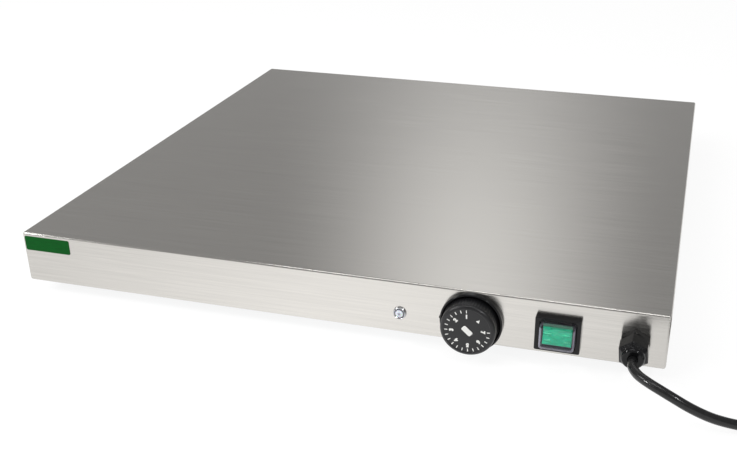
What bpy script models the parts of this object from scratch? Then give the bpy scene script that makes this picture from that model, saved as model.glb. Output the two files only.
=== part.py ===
"""Electric food warmer tray: a square stainless plate with its controls along the front skirt.

Metres, +Z up, the front skirt faces -Y. The origin is on the worktop, midway between the gland's
nose and the back skirt, so the tray's own axes, under the middle of the plate, stand a little
behind it. Pieces on the front skirt are drawn in the panel's own frame, x to the right, y up and
z outwards, and are then turned upright.
"""

import math

import bmesh
import bpy
import numpy as np
from mathutils import Euler, Matrix, Vector

# Clearances and finish of the model
GAP = 0.0003
OVERRUN = 0.004
MERGE = 0.00001
ROUND_STEPS = 32
SMALL_STEPS = 12
CUTTER_STEPS = 24

# Casing: one folded sheet, open below, with a return flange round its lower edge
PLATE_WIDTH = 0.600
PLATE_DEPTH = 0.600
CASING_HEIGHT = 0.050
SHEET = 0.0010
FOLD_RADIUS = 0.0022
FOLD_STEPS = 3
FLANGE_WIDTH = 0.016

# Base plate, under the flange
BASE_THICKNESS = 0.0010
BASE_INSET = 0.005
BASE_CORNER_RADIUS = 0.004
VENT_COUNT = 9
VENT_LENGTH = 0.030
VENT_WIDTH = 0.005
VENT_PITCH = 0.014
VENT_SETBACK = 0.038
VENT_MIDDLE = -0.120

# Rubber feet, pushed through the base plate
FOOT_HEIGHT = 0.0124
FOOT_RADIUS = 0.0135
FOOT_SOLE_RADIUS = 0.0115
FOOT_HOLLOW_RADIUS = 0.004
FOOT_HOLLOW_DEPTH = 0.003
FOOT_ROUNDING = 0.0012
FOOT_STEM_RADIUS = 0.004
FOOT_BARB_RADIUS = 0.0054
FOOT_BARB_HEIGHT = 0.0034
FOOT_INSET = 0.055

# Screws that hold the base plate to the flange
BASE_SCREW_RADIUS = 0.0016
BASE_SCREW_HEAD_RADIUS = 0.0032
BASE_SCREW_HEAD_HEIGHT = 0.0018
BASE_SCREW_LENGTH = 0.0065
BASE_SCREW_INSET = 0.0105
SCREW_CLEARANCE = 0.0004

# Heat spreader under the top sheet, and the rod that heats it
SPREADER_THICKNESS = 0.0015
SPREADER_WIDTH = 0.500
SPREADER_BACK_INSET = 0.050
CONTROL_BAY_DEPTH = 0.060
ELEMENT_RADIUS = 0.00325
ELEMENT_RUNS = 8
ELEMENT_PITCH = 0.060
ELEMENT_BACK_INSET = 0.070
ELEMENT_FRONT_INSET = 0.080
ELEMENT_END_OVERHANG = 0.012
ELEMENT_BEND_STEPS = 8

# Clamp bars that press the rod against the spreader
CLAMP_COUNT = 3
CLAMP_PITCH = 0.150
CLAMP_WIDTH = 0.016
CLAMP_THICKNESS = 0.0012
CLAMP_LEG_CLEARANCE = 0.012
CLAMP_FOOT_LENGTH = 0.018

# Insulation mat between the clamp bars and the base plate
MAT_SIDE_INSET = 0.078
MAT_NOTCH_WIDTH = 0.058
MAT_NOTCH_DEPTH = 0.064

# Heights of the controls on the front skirt, and how far in from its right end they sit
CONTROL_HEIGHT = 0.0215
LAMP_HEIGHT = 0.0195
LAMP_INSET = 0.2277
DIAL_INSET = 0.1637
SWITCH_INSET = 0.0898
GLAND_INSET = 0.0265

# Thermostat, its spindle, bulb and capillary
THERMOSTAT_WIDTH = 0.036
THERMOSTAT_HEIGHT = 0.036
THERMOSTAT_DEPTH = 0.033
THERMOSTAT_ROUNDING = 0.0015
THERMOSTAT_SCREW_SPACING = 0.028
THERMOSTAT_SCREW_RADIUS = 0.0020
THERMOSTAT_SCREW_HEAD_RADIUS = 0.0037
THERMOSTAT_SCREW_HEAD_HEIGHT = 0.0009
THERMOSTAT_SCREW_LENGTH = 0.0075
THERMOSTAT_COLLAR_RADIUS = 0.0062
THERMOSTAT_COLLAR_LENGTH = 0.0022
SPINDLE_RADIUS = 0.0030
SPINDLE_DEPTH = 0.024
SPINDLE_REACH = 0.0152
BULB_RADIUS = 0.0030
BULB_LENGTH = 0.080
BULB_INSET = 0.240
BULB_FRONT_Y = -0.135
CAPILLARY_RADIUS = 0.0008
BULB_CLIP_WIDTH = 0.012
BULB_CLIP_THICKNESS = 0.0008
BULB_CLIP_FOOT = 0.008

# Bezel ring behind the dial knob
BEZEL_RADIUS = 0.0273
BEZEL_LIP = 0.0024
BEZEL_HEIGHT = 0.0054
BEZEL_FLOOR = 0.0024
BEZEL_BORE_RADIUS = 0.0070
BEZEL_INDEX_REACH = 0.0013
BEZEL_INDEX_WIDTH = 0.0022
BEZEL_INDEX_HEIGHT = 0.0016

# Dial knob
KNOB_RADIUS = 0.0240
KNOB_FRONT = 0.0190
KNOB_BACK_CLEARANCE = 0.0006
KNOB_EDGE_RADIUS = 0.0034
KNOB_EDGE_STEPS = 5
KNOB_FACE_RECESS = 0.0005
KNOB_FACE_RADIUS = 0.0203
KNOB_WALL = 0.0020
KNOB_HUB_RADIUS = 0.0060
KNOB_RIB_COUNT = 6
KNOB_RIB_THICKNESS = 0.0012
KNOB_RIB_SETBACK = 0.0050
KNOB_TURN_AT_REST_DEGREES = 3.0
MARKER_LENGTH = 0.0096
MARKER_WIDTH = 0.0046
MARKER_THICKNESS = 0.0010
MARKER_PROUD = 0.0004
MARKER_CORNER_RADIUS = 0.0012
MARKER_TURN_DEGREES = -45.0

# Rocker switch with its splash cover
SWITCH_WIDTH = 0.0298
SWITCH_HEIGHT = 0.0218
SWITCH_DEPTH = 0.022
SWITCH_FLANGE_WIDTH = 0.0340
SWITCH_FLANGE_HEIGHT = 0.0270
SWITCH_FLANGE_THICKNESS = 0.0020
SWITCH_WELL_WIDTH = 0.0256
SWITCH_WELL_HEIGHT = 0.0206
SWITCH_WELL_DEPTH = 0.0060
FRAME_WIDTH = 0.0384
FRAME_HEIGHT = 0.0315
FRAME_DEPTH = 0.0060
FRAME_ROUNDING = 0.0010
COVER_WIDTH = 0.0294
COVER_HEIGHT = 0.0226
COVER_FLANGE_THICKNESS = 0.0006
COVER_WALL = 0.0008
COVER_FRONT = 0.0126
COVER_ROUNDING = 0.0024
ROCKER_WIDTH = 0.0244
ROCKER_HALF_HEIGHT = 0.0093
ROCKER_NOSE = 0.0074
ROCKER_VALLEY = 0.0054
ROCKER_KEEL = 0.0035
ROCKER_TILT_DEGREES = -8.0
ROCKER_RIB_COUNT = 3
ROCKER_RIB_LENGTH = 0.0066
ROCKER_RIB_WIDTH = 0.0016
ROCKER_RIB_HEIGHT = 0.0006
ROCKER_RIB_PITCH = 0.0052
TRUNNION_RADIUS = 0.0014
TRUNNION_REACH = 0.0013
TAB_WIDTH = 0.0063
TAB_THICKNESS = 0.0008
TAB_LENGTH = 0.0085
TAB_SPACING_X = 0.0145
TAB_SPACING_Y = 0.0130

# Pilot lamp
LAMP_RIM_RADIUS = 0.0060
LAMP_RIM_HEIGHT = 0.0022
LAMP_RIM_FLAT = 0.0008
LAMP_BORE_RADIUS = 0.0036
LAMP_BARREL_RADIUS = 0.0042
LAMP_BARREL_LENGTH = 0.0130
LAMP_LENS_FRONT = 0.0028
LAMP_LENS_LENGTH = 0.0160
LAMP_NUT_FLATS = 0.0120
LAMP_NUT_THICKNESS = 0.0025

# Cable gland
GLAND_FLATS = 0.0210
GLAND_COLLAR = 0.0058
GLAND_SEAM = 0.0006
GLAND_NUT_HEX = 0.0170
GLAND_NUT_END = 0.0275
GLAND_NUT_TURN_DEGREES = 8.0
GLAND_CHAMFER = 0.0014
GLAND_NOSE_RADIUS = 0.0098
GLAND_MOUTH_RADIUS = 0.0072
GLAND_THREAD_RADIUS = 0.0078
GLAND_THREAD_INSIDE = 0.0110
GLAND_THREAD_OUTSIDE = 0.0160
GLAND_SEAL_RADIUS = 0.0064
GLAND_SEAL_LENGTH = 0.0080
LOCKNUT_FLATS = 0.0190
LOCKNUT_THICKNESS = 0.0045

# Terminal block, earth stud and inner leads
BLOCK_WIDTH = 0.016
BLOCK_LENGTH = 0.036
BLOCK_HEIGHT = 0.015
BLOCK_INSET = 0.062
BLOCK_SETBACK = 0.088
BLOCK_WAYS = 3
BLOCK_PITCH = 0.012
BLOCK_WELL_RADIUS = 0.0026
BLOCK_WELL_DEPTH = 0.0040
STUD_INSET = 0.025
STUD_SETBACK = 0.105
STUD_RADIUS = 0.0020
STUD_HEIGHT = 0.012
STUD_NUT_FLATS = 0.0080
STUD_NUT_THICKNESS = 0.0035
LEAD_RADIUS = 0.0012
LEAD_SPACING = 0.0018
LEAD_STUB = 0.0040
LEAD_STEP = 0.0120
SHEATH_INSIDE = 0.038

# Supply cord outside the casing
CORD_RADIUS = 0.0040
CORD_BEVEL_STEPS = 2
CORD_POINT_SPACING = 0.0160
COIL_TURNS = 4.25
COIL_INNER_RADIUS = 0.0385
COIL_PITCH = 0.0087
COIL_LIFT = 0.0085
COIL_POINTS_PER_TURN = 24
COIL_FROM_GLAND = 0.1525
COIL_BEHIND_FRONT = 0.0050
TIE_THICKNESS = 0.0008
TIE_WIDTH = 0.0080
TIE_CLEARANCE = 0.0004
TIE_TURN_DEGREES = 135.0
# Points of the cord: right of the gland, behind the front skirt, above the worktop
CORD_ROUTE = (
    (0.0000, -0.0318, 0.0355),
    (0.0014, -0.0400, 0.0358),
    (0.0061, -0.0501, 0.0364),
    (0.0140, -0.0583, 0.0363),
    (0.0239, -0.0639, 0.0345),
    (0.0346, -0.0667, 0.0307),
    (0.0450, -0.0668, 0.0255),
    (0.0551, -0.0649, 0.0201),
    (0.0651, -0.0618, 0.0150),
    (0.0755, -0.0584, 0.0110),
    (0.0864, -0.0553, 0.0081),
    (0.0977, -0.0530, 0.0066),
    (0.1093, -0.0520, 0.0058),
    (0.1209, -0.0518, 0.0054),
    (0.1325, -0.0520, 0.0052),
)

# Plug on the cord's end
PLUG_FACE_RADIUS = 0.0185
PLUG_DISC_LENGTH = 0.0150
PLUG_GRIP_LENGTH = 0.0300
PLUG_GRIP_RADIUS = 0.0095
PLUG_SHOULDER_RADIUS = 0.0150
PLUG_SHOULDER_LENGTH = 0.0050
PLUG_SLEEVE_LENGTH = 0.0240
PLUG_SLEEVE_RADIUS = 0.0062
PLUG_SLEEVE_END_RADIUS = 0.0050
PLUG_EDGE = 0.0012
PLUG_SLOT_WIDTH = 0.0060
PLUG_SLOT_DEPTH = 0.0025
PLUG_PITCH_DEGREES = 4.7
PIN_RADIUS = 0.0024
PIN_LENGTH = 0.0190
PIN_ROOT = 0.0080
PIN_SPACING = 0.0190
PIN_STEPS = 16

# Places that follow from the sizes
BASE_BOTTOM = FOOT_HEIGHT + GAP
BASE_TOP = BASE_BOTTOM + BASE_THICKNESS
CASING_BOTTOM = BASE_TOP + GAP
CASING_TOP = CASING_BOTTOM + CASING_HEIGHT
CEILING = CASING_TOP - SHEET
FRONT = -PLATE_DEPTH / 2
BACK = PLATE_DEPTH / 2
PANEL_BACK = -SHEET - GAP
SPREADER_BOTTOM = CEILING - GAP - SPREADER_THICKNESS
SPREADER_FRONT_Y = FRONT + CONTROL_BAY_DEPTH
SPREADER_BACK_Y = BACK - SPREADER_BACK_INSET
RIGHT = PLATE_WIDTH / 2
LAMP_X = RIGHT - LAMP_INSET
DIAL_X = RIGHT - DIAL_INSET
SWITCH_X = RIGHT - SWITCH_INSET
GLAND_X = RIGHT - GLAND_INSET
BULB_X = RIGHT - BULB_INSET
BLOCK_X = RIGHT - BLOCK_INSET
STUD_X = RIGHT - STUD_INSET
COIL_X = GLAND_X + COIL_FROM_GLAND
COIL_Y = FRONT + COIL_BEHIND_FRONT
ELEMENT_Z = SPREADER_BOTTOM - GAP - ELEMENT_RADIUS
ELEMENT_HALF_SPAN = ELEMENT_PITCH * (ELEMENT_RUNS - 1) / 2
ELEMENT_END_Y = SPREADER_FRONT_Y - ELEMENT_END_OVERHANG
CLAMP_TOP = ELEMENT_Z - ELEMENT_RADIUS - GAP
CLAMP_BOTTOM = CLAMP_TOP - CLAMP_THICKNESS
COIL_OUTER_RADIUS = COIL_INNER_RADIUS + COIL_PITCH * COIL_TURNS / 2
COIL_Z = CORD_RADIUS + TIE_THICKNESS + TIE_CLEARANCE
OUTWARDS = Euler((math.radians(90), 0, 0))
UPRIGHT = Euler((0, 0, 0))
WORLD_ORIGIN = Vector((0, 0, 0))


def clear_scene():
    for thing in list(bpy.data.objects):
        bpy.data.objects.remove(thing)


def new_collection(name):
    group = bpy.data.collections.new(name)
    bpy.context.scene.collection.children.link(group)
    return group


def new_material(name, colour, roughness, metallic=0.0, alpha=1.0):
    finish = bpy.data.materials.new(name)
    finish.use_nodes = True
    shader = finish.node_tree.nodes["Principled BSDF"]
    shader.inputs["Base Color"].default_value = (*colour, 1.0)
    shader.inputs["Roughness"].default_value = roughness
    shader.inputs["Metallic"].default_value = metallic
    shader.inputs["Alpha"].default_value = alpha
    finish.diffuse_color = (*colour, alpha)
    return finish


clear_scene()
PARTS = new_collection("food_warmer_tray")
CUTTERS = new_collection("cutters")

STEEL = new_material("brushed_stainless", (0.55, 0.54, 0.52), 0.32, 1.0)
GALVANISED = new_material("galvanised_sheet", (0.48, 0.49, 0.50), 0.45, 1.0)
ALUMINIUM = new_material("aluminium_sheet", (0.70, 0.70, 0.71), 0.40, 1.0)
ROD = new_material("element_sheath", (0.20, 0.19, 0.18), 0.45, 1.0)
FIBRE = new_material("mineral_fibre", (0.75, 0.72, 0.60), 0.95)
BLACK = new_material("black_moulding", (0.018, 0.018, 0.020), 0.35)
WHITE = new_material("white_moulding", (0.85, 0.85, 0.83), 0.40)
GREEN = new_material("green_rocker", (0.02, 0.42, 0.25), 0.20)
CLEAR = new_material("clear_cover", (0.80, 0.82, 0.84), 0.10, 0.0, 0.3)
CHROME = new_material("chrome_rim", (0.75, 0.75, 0.76), 0.12, 1.0)
LENS = new_material("lamp_lens", (0.85, 0.86, 0.88), 0.15)
RUBBER = new_material("black_rubber", (0.020, 0.020, 0.022), 0.70)
BRASS = new_material("brass", (0.70, 0.50, 0.22), 0.30, 1.0)
ZINC = new_material("zinc_plated", (0.60, 0.60, 0.62), 0.30, 1.0)
COPPER = new_material("copper_capillary", (0.65, 0.33, 0.20), 0.35, 1.0)
BROWN = new_material("brown_lead", (0.16, 0.07, 0.03), 0.55)
BLUE = new_material("blue_lead", (0.04, 0.16, 0.50), 0.55)
EARTH = new_material("earth_lead", (0.45, 0.50, 0.06), 0.55)


def new_empty(name, place, turn=UPRIGHT, parent=None):
    """An empty that carries pieces; a moving body's empty stands on its joint's axis."""
    carrier = bpy.data.objects.new(name, None)
    PARTS.objects.link(carrier)
    carrier.parent = parent
    carrier.location = place
    carrier.rotation_euler = turn
    return carrier


TRAY = new_empty("tray_axes", Vector((0, GLAND_NUT_END / 2, 0)))
PANEL = new_empty("panel_axes", Vector((0, FRONT, CASING_BOTTOM)), OUTWARDS, TRAY)


def place_mesh(name, mesh, finish, parent=TRAY, place=WORLD_ORIGIN, turn=UPRIGHT):
    """A visible piece on its carrier or, with no finish, a hidden cutter."""
    thing = bpy.data.objects.new(name, mesh)
    if finish is None:
        CUTTERS.objects.link(thing)
        thing.hide_render = True
        thing.display_type = "WIRE"
    else:
        PARTS.objects.link(thing)
        mesh.materials.append(finish)
    thing.parent = parent
    thing.location = place
    thing.rotation_euler = turn
    return thing


def mesh_from(name, shape):
    bmesh.ops.recalc_face_normals(shape, faces=shape.faces)
    mesh = bpy.data.meshes.new(name)
    shape.to_mesh(mesh)
    shape.free()
    mesh.shade_smooth()
    mesh.set_sharp_from_angle(angle=math.radians(30))
    return mesh


def box_mesh(name, low, high, rounding=0.0, steps=2):
    """A box from its lowest to its highest corner, with its edges rounded."""
    low, high = Vector(low), Vector(high)
    shape = bmesh.new()
    bmesh.ops.create_cube(shape, size=1.0)
    bmesh.ops.scale(shape, vec=high - low, verts=shape.verts)
    bmesh.ops.translate(shape, vec=(low + high) / 2, verts=shape.verts)
    if rounding > 0:
        bmesh.ops.bevel(
            shape, geom=shape.edges[:], offset=rounding, segments=steps, profile=0.5, affect="EDGES"
        )
    return mesh_from(name, shape)


def block(name, size, low_z, high_z, finish, parent=TRAY, place=WORLD_ORIGIN, rounding=0.0):
    """A box centred on its place in x and y, between two heights."""
    width, depth = size
    mesh = box_mesh(
        name, (-width / 2, -depth / 2, low_z), (width / 2, depth / 2, high_z), rounding
    )
    return place_mesh(name, mesh, finish, parent, place)


def hexagon(name, across_flats, low_z, high_z, finish, parent=TRAY, place=WORLD_ORIGIN, turn=UPRIGHT):
    """A hexagonal prism with a corner at the top of the panel."""
    radius = across_flats / (2 * math.cos(math.radians(30)))
    shape = bmesh.new()
    bmesh.ops.create_cone(
        shape, cap_ends=True, segments=6, radius1=radius, radius2=radius, depth=high_z - low_z
    )
    bmesh.ops.rotate(shape, matrix=Matrix.Rotation(math.radians(30), 3, "Z"), verts=shape.verts)
    bmesh.ops.translate(shape, vec=(0, 0, (low_z + high_z) / 2), verts=shape.verts)
    return place_mesh(name, mesh_from(name, shape), finish, parent, place, turn)


def cylinder(name, radius, low_z, high_z, finish, parent=TRAY, place=WORLD_ORIGIN, turn=UPRIGHT,
             steps=CUTTER_STEPS):
    """A plain cylinder between two heights on its own axis."""
    shape = bmesh.new()
    bmesh.ops.create_cone(
        shape, cap_ends=True, segments=steps, radius1=radius, radius2=radius, depth=high_z - low_z
    )
    bmesh.ops.translate(shape, vec=(0, 0, (low_z + high_z) / 2), verts=shape.verts)
    return place_mesh(name, mesh_from(name, shape), finish, parent, place, turn)


def turned(name, profile, finish, parent=TRAY, place=WORLD_ORIGIN, turn=UPRIGHT,
           steps=ROUND_STEPS, ring=False):
    """A profile of (radius, height) turned about the local Z axis, outer side from top to bottom.

    A ring's profile closes on itself; any other starts and ends on the axis.
    """
    count = len(profile)
    edges = [(i, i + 1) for i in range(count - 1)]
    if ring:
        edges.append((count - 1, 0))
    mesh = bpy.data.meshes.new(name)
    mesh.from_pydata([(radius, 0, height) for radius, height in profile], edges, [])
    thing = place_mesh(name, mesh, finish, parent, place, turn)
    screw = thing.modifiers.new("turn", "SCREW")
    screw.steps = steps
    screw.render_steps = steps
    screw.use_merge_vertices = True
    screw.merge_threshold = MERGE
    screw.use_smooth_shade = True
    return thing


def boolean(thing, other, operation="DIFFERENCE"):
    step = thing.modifiers.new(other.name, "BOOLEAN")
    step.operation = operation
    step.object = other
    step.solver = "EXACT"


def outline_mesh(name, points, thickness):
    """A flat outline in x and y, filled and given its thickness either side of z = 0."""
    curve = bpy.data.curves.new(name, "CURVE")
    curve.dimensions = "2D"
    curve.fill_mode = "BOTH"
    curve.extrude = thickness / 2
    spline = curve.splines.new("POLY")
    spline.points.add(len(points) - 1)
    for point, (x, y) in zip(spline.points, points):
        point.co = (x, y, 0, 1)
    spline.use_cyclic_u = True
    drawn = bpy.data.objects.new(name, curve)
    CUTTERS.objects.link(drawn)
    bpy.context.view_layer.update()
    mesh = bpy.data.meshes.new_from_object(drawn.evaluated_get(bpy.context.evaluated_depsgraph_get()))
    bpy.data.objects.remove(drawn)
    shape = bmesh.new()
    shape.from_mesh(mesh)
    bmesh.ops.remove_doubles(shape, verts=shape.verts, dist=MERGE)
    return mesh_from(name, shape)


def rounded_rectangle(width, height, radius, steps=4):
    """Corner arcs, each a quarter circle, joined by the straight sides."""
    points = []
    for quarter in range(4):
        side_x = 1 if quarter in (0, 3) else -1
        side_y = 1 if quarter in (0, 1) else -1
        for step in range(steps + 1):
            angle = math.radians(90) * (quarter + step / steps)
            x = side_x * (width / 2 - radius) + radius * math.cos(angle)
            y = side_y * (height / 2 - radius) + radius * math.sin(angle)
            points.append((x, y))
    return points


def smooth_curve(stops, spacing):
    """Centripetal Catmull-Rom curve through the stops, read off at even steps along its length."""
    stops = np.array([tuple(stop) for stop in stops], float)
    ends = np.vstack([2 * stops[0] - stops[1], stops, 2 * stops[-1] - stops[-2]])
    dense = []
    for before, start, end, after in zip(ends, ends[1:], ends[2:], ends[3:]):
        knots = np.cumsum([0.0] + [math.dist(a, b) ** 0.5 for a, b in
                                   ((before, start), (start, end), (end, after))])
        k0, k1, k2, k3 = knots
        t = np.linspace(k1, k2, 24, endpoint=False)[:, None]
        a1 = ((k1 - t) * before + (t - k0) * start) / (k1 - k0)
        a2 = ((k2 - t) * start + (t - k1) * end) / (k2 - k1)
        a3 = ((k3 - t) * end + (t - k2) * after) / (k3 - k2)
        b1 = ((k2 - t) * a1 + (t - k0) * a2) / (k2 - k0)
        b2 = ((k3 - t) * a2 + (t - k1) * a3) / (k3 - k1)
        dense.append(((k2 - t) * b1 + (t - k1) * b2) / (k2 - k1))
    dense = np.vstack(dense + [stops[-1:]])
    along = np.concatenate([[0.0], np.cumsum(np.linalg.norm(np.diff(dense, axis=0), axis=1))])
    count = max(2, round(along[-1] / spacing) + 1)
    wanted = np.linspace(0.0, along[-1], count)
    return np.stack([np.interp(wanted, along, dense[:, axis]) for axis in range(3)], axis=1)


def tube(name, points, radius, finish, bevel_steps=1, parent=TRAY):
    """A round wire, rod or cord along its points, with filled ends."""
    curve = bpy.data.curves.new(name, "CURVE")
    curve.dimensions = "3D"
    curve.bevel_depth = radius
    curve.bevel_resolution = bevel_steps
    curve.use_fill_caps = True
    spline = curve.splines.new("POLY")
    spline.points.add(len(points) - 1)
    for point, place in zip(spline.points, points):
        point.co = (*place, 1)
    curve.materials.append(finish)
    thing = bpy.data.objects.new(name, curve)
    PARTS.objects.link(thing)
    thing.parent = parent
    return thing


def on_panel(x, height):
    """A place on the front skirt, in the panel's frame."""
    return Vector((x, height, 0))


def in_room(x, height, outwards):
    """The same place in the tray's frame, with its distance in front of the skirt."""
    return Vector((x, FRONT - outwards, CASING_BOTTOM + height))


def make_casing():
    """The folded sheet: top, four skirts and the return flange, then the holes in the front skirt."""
    shape = bmesh.new()
    bmesh.ops.create_cube(shape, size=1.0)
    bmesh.ops.scale(shape, vec=(PLATE_WIDTH, PLATE_DEPTH, CASING_HEIGHT), verts=shape.verts)
    bmesh.ops.translate(shape, vec=(0, 0, CASING_BOTTOM + CASING_HEIGHT / 2), verts=shape.verts)
    folds = shape.edges[:]
    bottom = min(shape.faces, key=lambda face: face.calc_center_median().z)
    bmesh.ops.inset_region(shape, faces=[bottom], thickness=FLANGE_WIDTH)
    bmesh.ops.delete(shape, geom=[bottom], context="FACES")
    bmesh.ops.bevel(
        shape, geom=folds, offset=FOLD_RADIUS, segments=FOLD_STEPS, profile=0.5, affect="EDGES"
    )
    casing = place_mesh("casing", mesh_from("casing", shape), STEEL)
    wall = casing.modifiers.new("sheet", "SOLIDIFY")
    wall.thickness = SHEET
    wall.offset = -1
    wall.use_even_offset = True
    return casing


def panel_hole(casing, name, radius, place):
    hole = cylinder(name, radius, -SHEET - OVERRUN, OVERRUN, None, PANEL, place)
    boolean(casing, hole)


def base_screw_places():
    """The middle of each side, on the flange's centre line."""
    reach_x = PLATE_WIDTH / 2 - BASE_SCREW_INSET
    reach_y = PLATE_DEPTH / 2 - BASE_SCREW_INSET
    return [Vector(place) for place in
            ((0, -reach_y, 0), (reach_x, 0, 0), (0, reach_y, 0), (-reach_x, 0, 0))]


def foot_places():
    reach_x = PLATE_WIDTH / 2 - FOOT_INSET
    reach_y = PLATE_DEPTH / 2 - FOOT_INSET
    return [Vector((x, y, 0)) for y in (-reach_y, reach_y) for x in (-reach_x, reach_x)]


def make_base(casing):
    """The flat cover below: vents under the control bay, holes for the feet and the screws."""
    outline = rounded_rectangle(
        PLATE_WIDTH - 2 * BASE_INSET, PLATE_DEPTH - 2 * BASE_INSET, BASE_CORNER_RADIUS
    )
    middle = Vector((0, 0, BASE_BOTTOM + BASE_THICKNESS / 2))
    base = place_mesh("base_plate", outline_mesh("base_plate", outline, BASE_THICKNESS), GALVANISED,
                      place=middle)
    slot = outline_mesh(
        "vent_slot",
        rounded_rectangle(VENT_WIDTH, VENT_LENGTH, VENT_WIDTH / 2 - MERGE),
        BASE_THICKNESS + 2 * OVERRUN,
    )
    for number in range(VENT_COUNT):
        x = VENT_MIDDLE + VENT_PITCH * (number - (VENT_COUNT - 1) / 2)
        place = Vector((x, FRONT + VENT_SETBACK, middle.z))
        boolean(base, place_mesh(f"vent_slot_{number + 1}", slot, None, place=place))
    for number, place in enumerate(foot_places(), 1):
        boolean(base, cylinder(f"foot_hole_{number}", FOOT_STEM_RADIUS + GAP, BASE_BOTTOM - OVERRUN,
                               BASE_TOP + OVERRUN, None, place=place))
    for number, place in enumerate(base_screw_places(), 1):
        hole = cylinder(f"base_screw_hole_{number}", BASE_SCREW_RADIUS + SCREW_CLEARANCE,
                        BASE_BOTTOM - OVERRUN, CASING_BOTTOM + SHEET + OVERRUN, None, place=place)
        boolean(base, hole)
        boolean(casing, hole)


def make_feet():
    """Rubber feet: a conical sole with a hollow, a stem through the plate and a barb above it."""
    hollow = FOOT_HOLLOW_RADIUS
    barb_low = BASE_TOP + GAP
    barb_top = barb_low + FOOT_BARB_HEIGHT
    profile = [
        (0, barb_top),
        (FOOT_STEM_RADIUS - GAP, barb_top),
        (FOOT_BARB_RADIUS, barb_low + FOOT_ROUNDING),
        (FOOT_BARB_RADIUS, barb_low),
        (FOOT_STEM_RADIUS, barb_low),
        (FOOT_STEM_RADIUS, FOOT_HEIGHT),
        (FOOT_RADIUS - FOOT_ROUNDING, FOOT_HEIGHT),
        (FOOT_RADIUS, FOOT_HEIGHT - FOOT_ROUNDING),
        (FOOT_SOLE_RADIUS, FOOT_ROUNDING),
        (FOOT_SOLE_RADIUS - FOOT_ROUNDING, 0),
        (hollow, 0),
        (hollow, FOOT_HOLLOW_DEPTH),
        (0, FOOT_HOLLOW_DEPTH),
    ]
    for number, place in enumerate(foot_places(), 1):
        turned(f"foot_{number}", profile, RUBBER, place=place, steps=16)


def make_base_screws():
    """Pan-head screws from below, through the base plate and the flange."""
    head_top = BASE_BOTTOM - GAP
    head_bottom = head_top - BASE_SCREW_HEAD_HEIGHT
    edge = BASE_SCREW_HEAD_HEIGHT / 3
    profile = [
        (0, head_top + BASE_SCREW_LENGTH),
        (BASE_SCREW_RADIUS - SCREW_CLEARANCE, head_top + BASE_SCREW_LENGTH),
        (BASE_SCREW_RADIUS, head_top + BASE_SCREW_LENGTH - SCREW_CLEARANCE),
        (BASE_SCREW_RADIUS, head_top),
        (BASE_SCREW_HEAD_RADIUS, head_top),
        (BASE_SCREW_HEAD_RADIUS, head_bottom + edge),
        (BASE_SCREW_HEAD_RADIUS - edge, head_bottom),
        (0, head_bottom),
    ]
    for number, place in enumerate(base_screw_places(), 1):
        turned(f"base_screw_{number}", profile, ZINC, place=place, steps=SMALL_STEPS)


def make_heater():
    """The aluminium spreader, the bent heating rod under it and the clamp bars."""
    low = (-SPREADER_WIDTH / 2, SPREADER_FRONT_Y, SPREADER_BOTTOM)
    high = (SPREADER_WIDTH / 2, SPREADER_BACK_Y, SPREADER_BOTTOM + SPREADER_THICKNESS)
    place_mesh("heat_spreader", box_mesh("heat_spreader", low, high), ALUMINIUM)

    bend = ELEMENT_PITCH / 2
    far = BACK - ELEMENT_BACK_INSET - bend
    near = FRONT + ELEMENT_FRONT_INSET + bend
    points = [(ELEMENT_HALF_SPAN, ELEMENT_END_Y, ELEMENT_Z)]
    for run in range(ELEMENT_RUNS - 1):
        middle = ELEMENT_HALF_SPAN - ELEMENT_PITCH * run - bend
        turn_y, side = (far, 1) if run % 2 == 0 else (near, -1)
        for step in range(ELEMENT_BEND_STEPS + 1):
            angle = math.pi * step / ELEMENT_BEND_STEPS
            points.append(
                (middle + bend * math.cos(angle), turn_y + side * bend * math.sin(angle), ELEMENT_Z)
            )
    points.append((-ELEMENT_HALF_SPAN, ELEMENT_END_Y, ELEMENT_Z))
    tube("heating_element", points, ELEMENT_RADIUS, ROD, bevel_steps=2)

    leg_x = ELEMENT_HALF_SPAN + CLAMP_LEG_CLEARANCE
    foot_x = leg_x + CLAMP_FOOT_LENGTH
    foot_top = SPREADER_BOTTOM - GAP
    foot_bottom = foot_top - CLAMP_THICKNESS
    upper = [(foot_x, foot_top), (leg_x, foot_top), (leg_x, CLAMP_TOP)]
    lower = [(leg_x + CLAMP_THICKNESS, CLAMP_BOTTOM), (leg_x + CLAMP_THICKNESS, foot_bottom),
             (foot_x, foot_bottom)]
    outline = upper + [(-x, z) for x, z in reversed(upper)]
    outline += [(-x, z) for x, z in reversed(lower)] + lower
    for number in range(CLAMP_COUNT):
        name = f"element_clamp_{number + 1}"
        mesh = outline_mesh(name, outline, CLAMP_WIDTH)
        y = CLAMP_PITCH * (number - (CLAMP_COUNT - 1) / 2)
        place_mesh(name, mesh, ZINC, place=Vector((0, y, 0)), turn=OUTWARDS)


def make_mat():
    """The fibre mat fills the space below the clamp bars, with a notch for the terminal block."""
    side = PLATE_WIDTH / 2 - MAT_SIDE_INSET
    low = (-side, SPREADER_FRONT_Y, BASE_TOP + GAP)
    high = (side, BACK - MAT_SIDE_INSET, CLAMP_BOTTOM - GAP)
    mat = place_mesh("insulation_mat", box_mesh("insulation_mat", low, high), FIBRE)
    notch_low = (side - MAT_NOTCH_WIDTH, SPREADER_FRONT_Y - OVERRUN, BASE_TOP - OVERRUN)
    notch_high = (side + OVERRUN, SPREADER_FRONT_Y + MAT_NOTCH_DEPTH, CEILING)
    boolean(mat, place_mesh("mat_notch", box_mesh("mat_notch", notch_low, notch_high), None))


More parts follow.
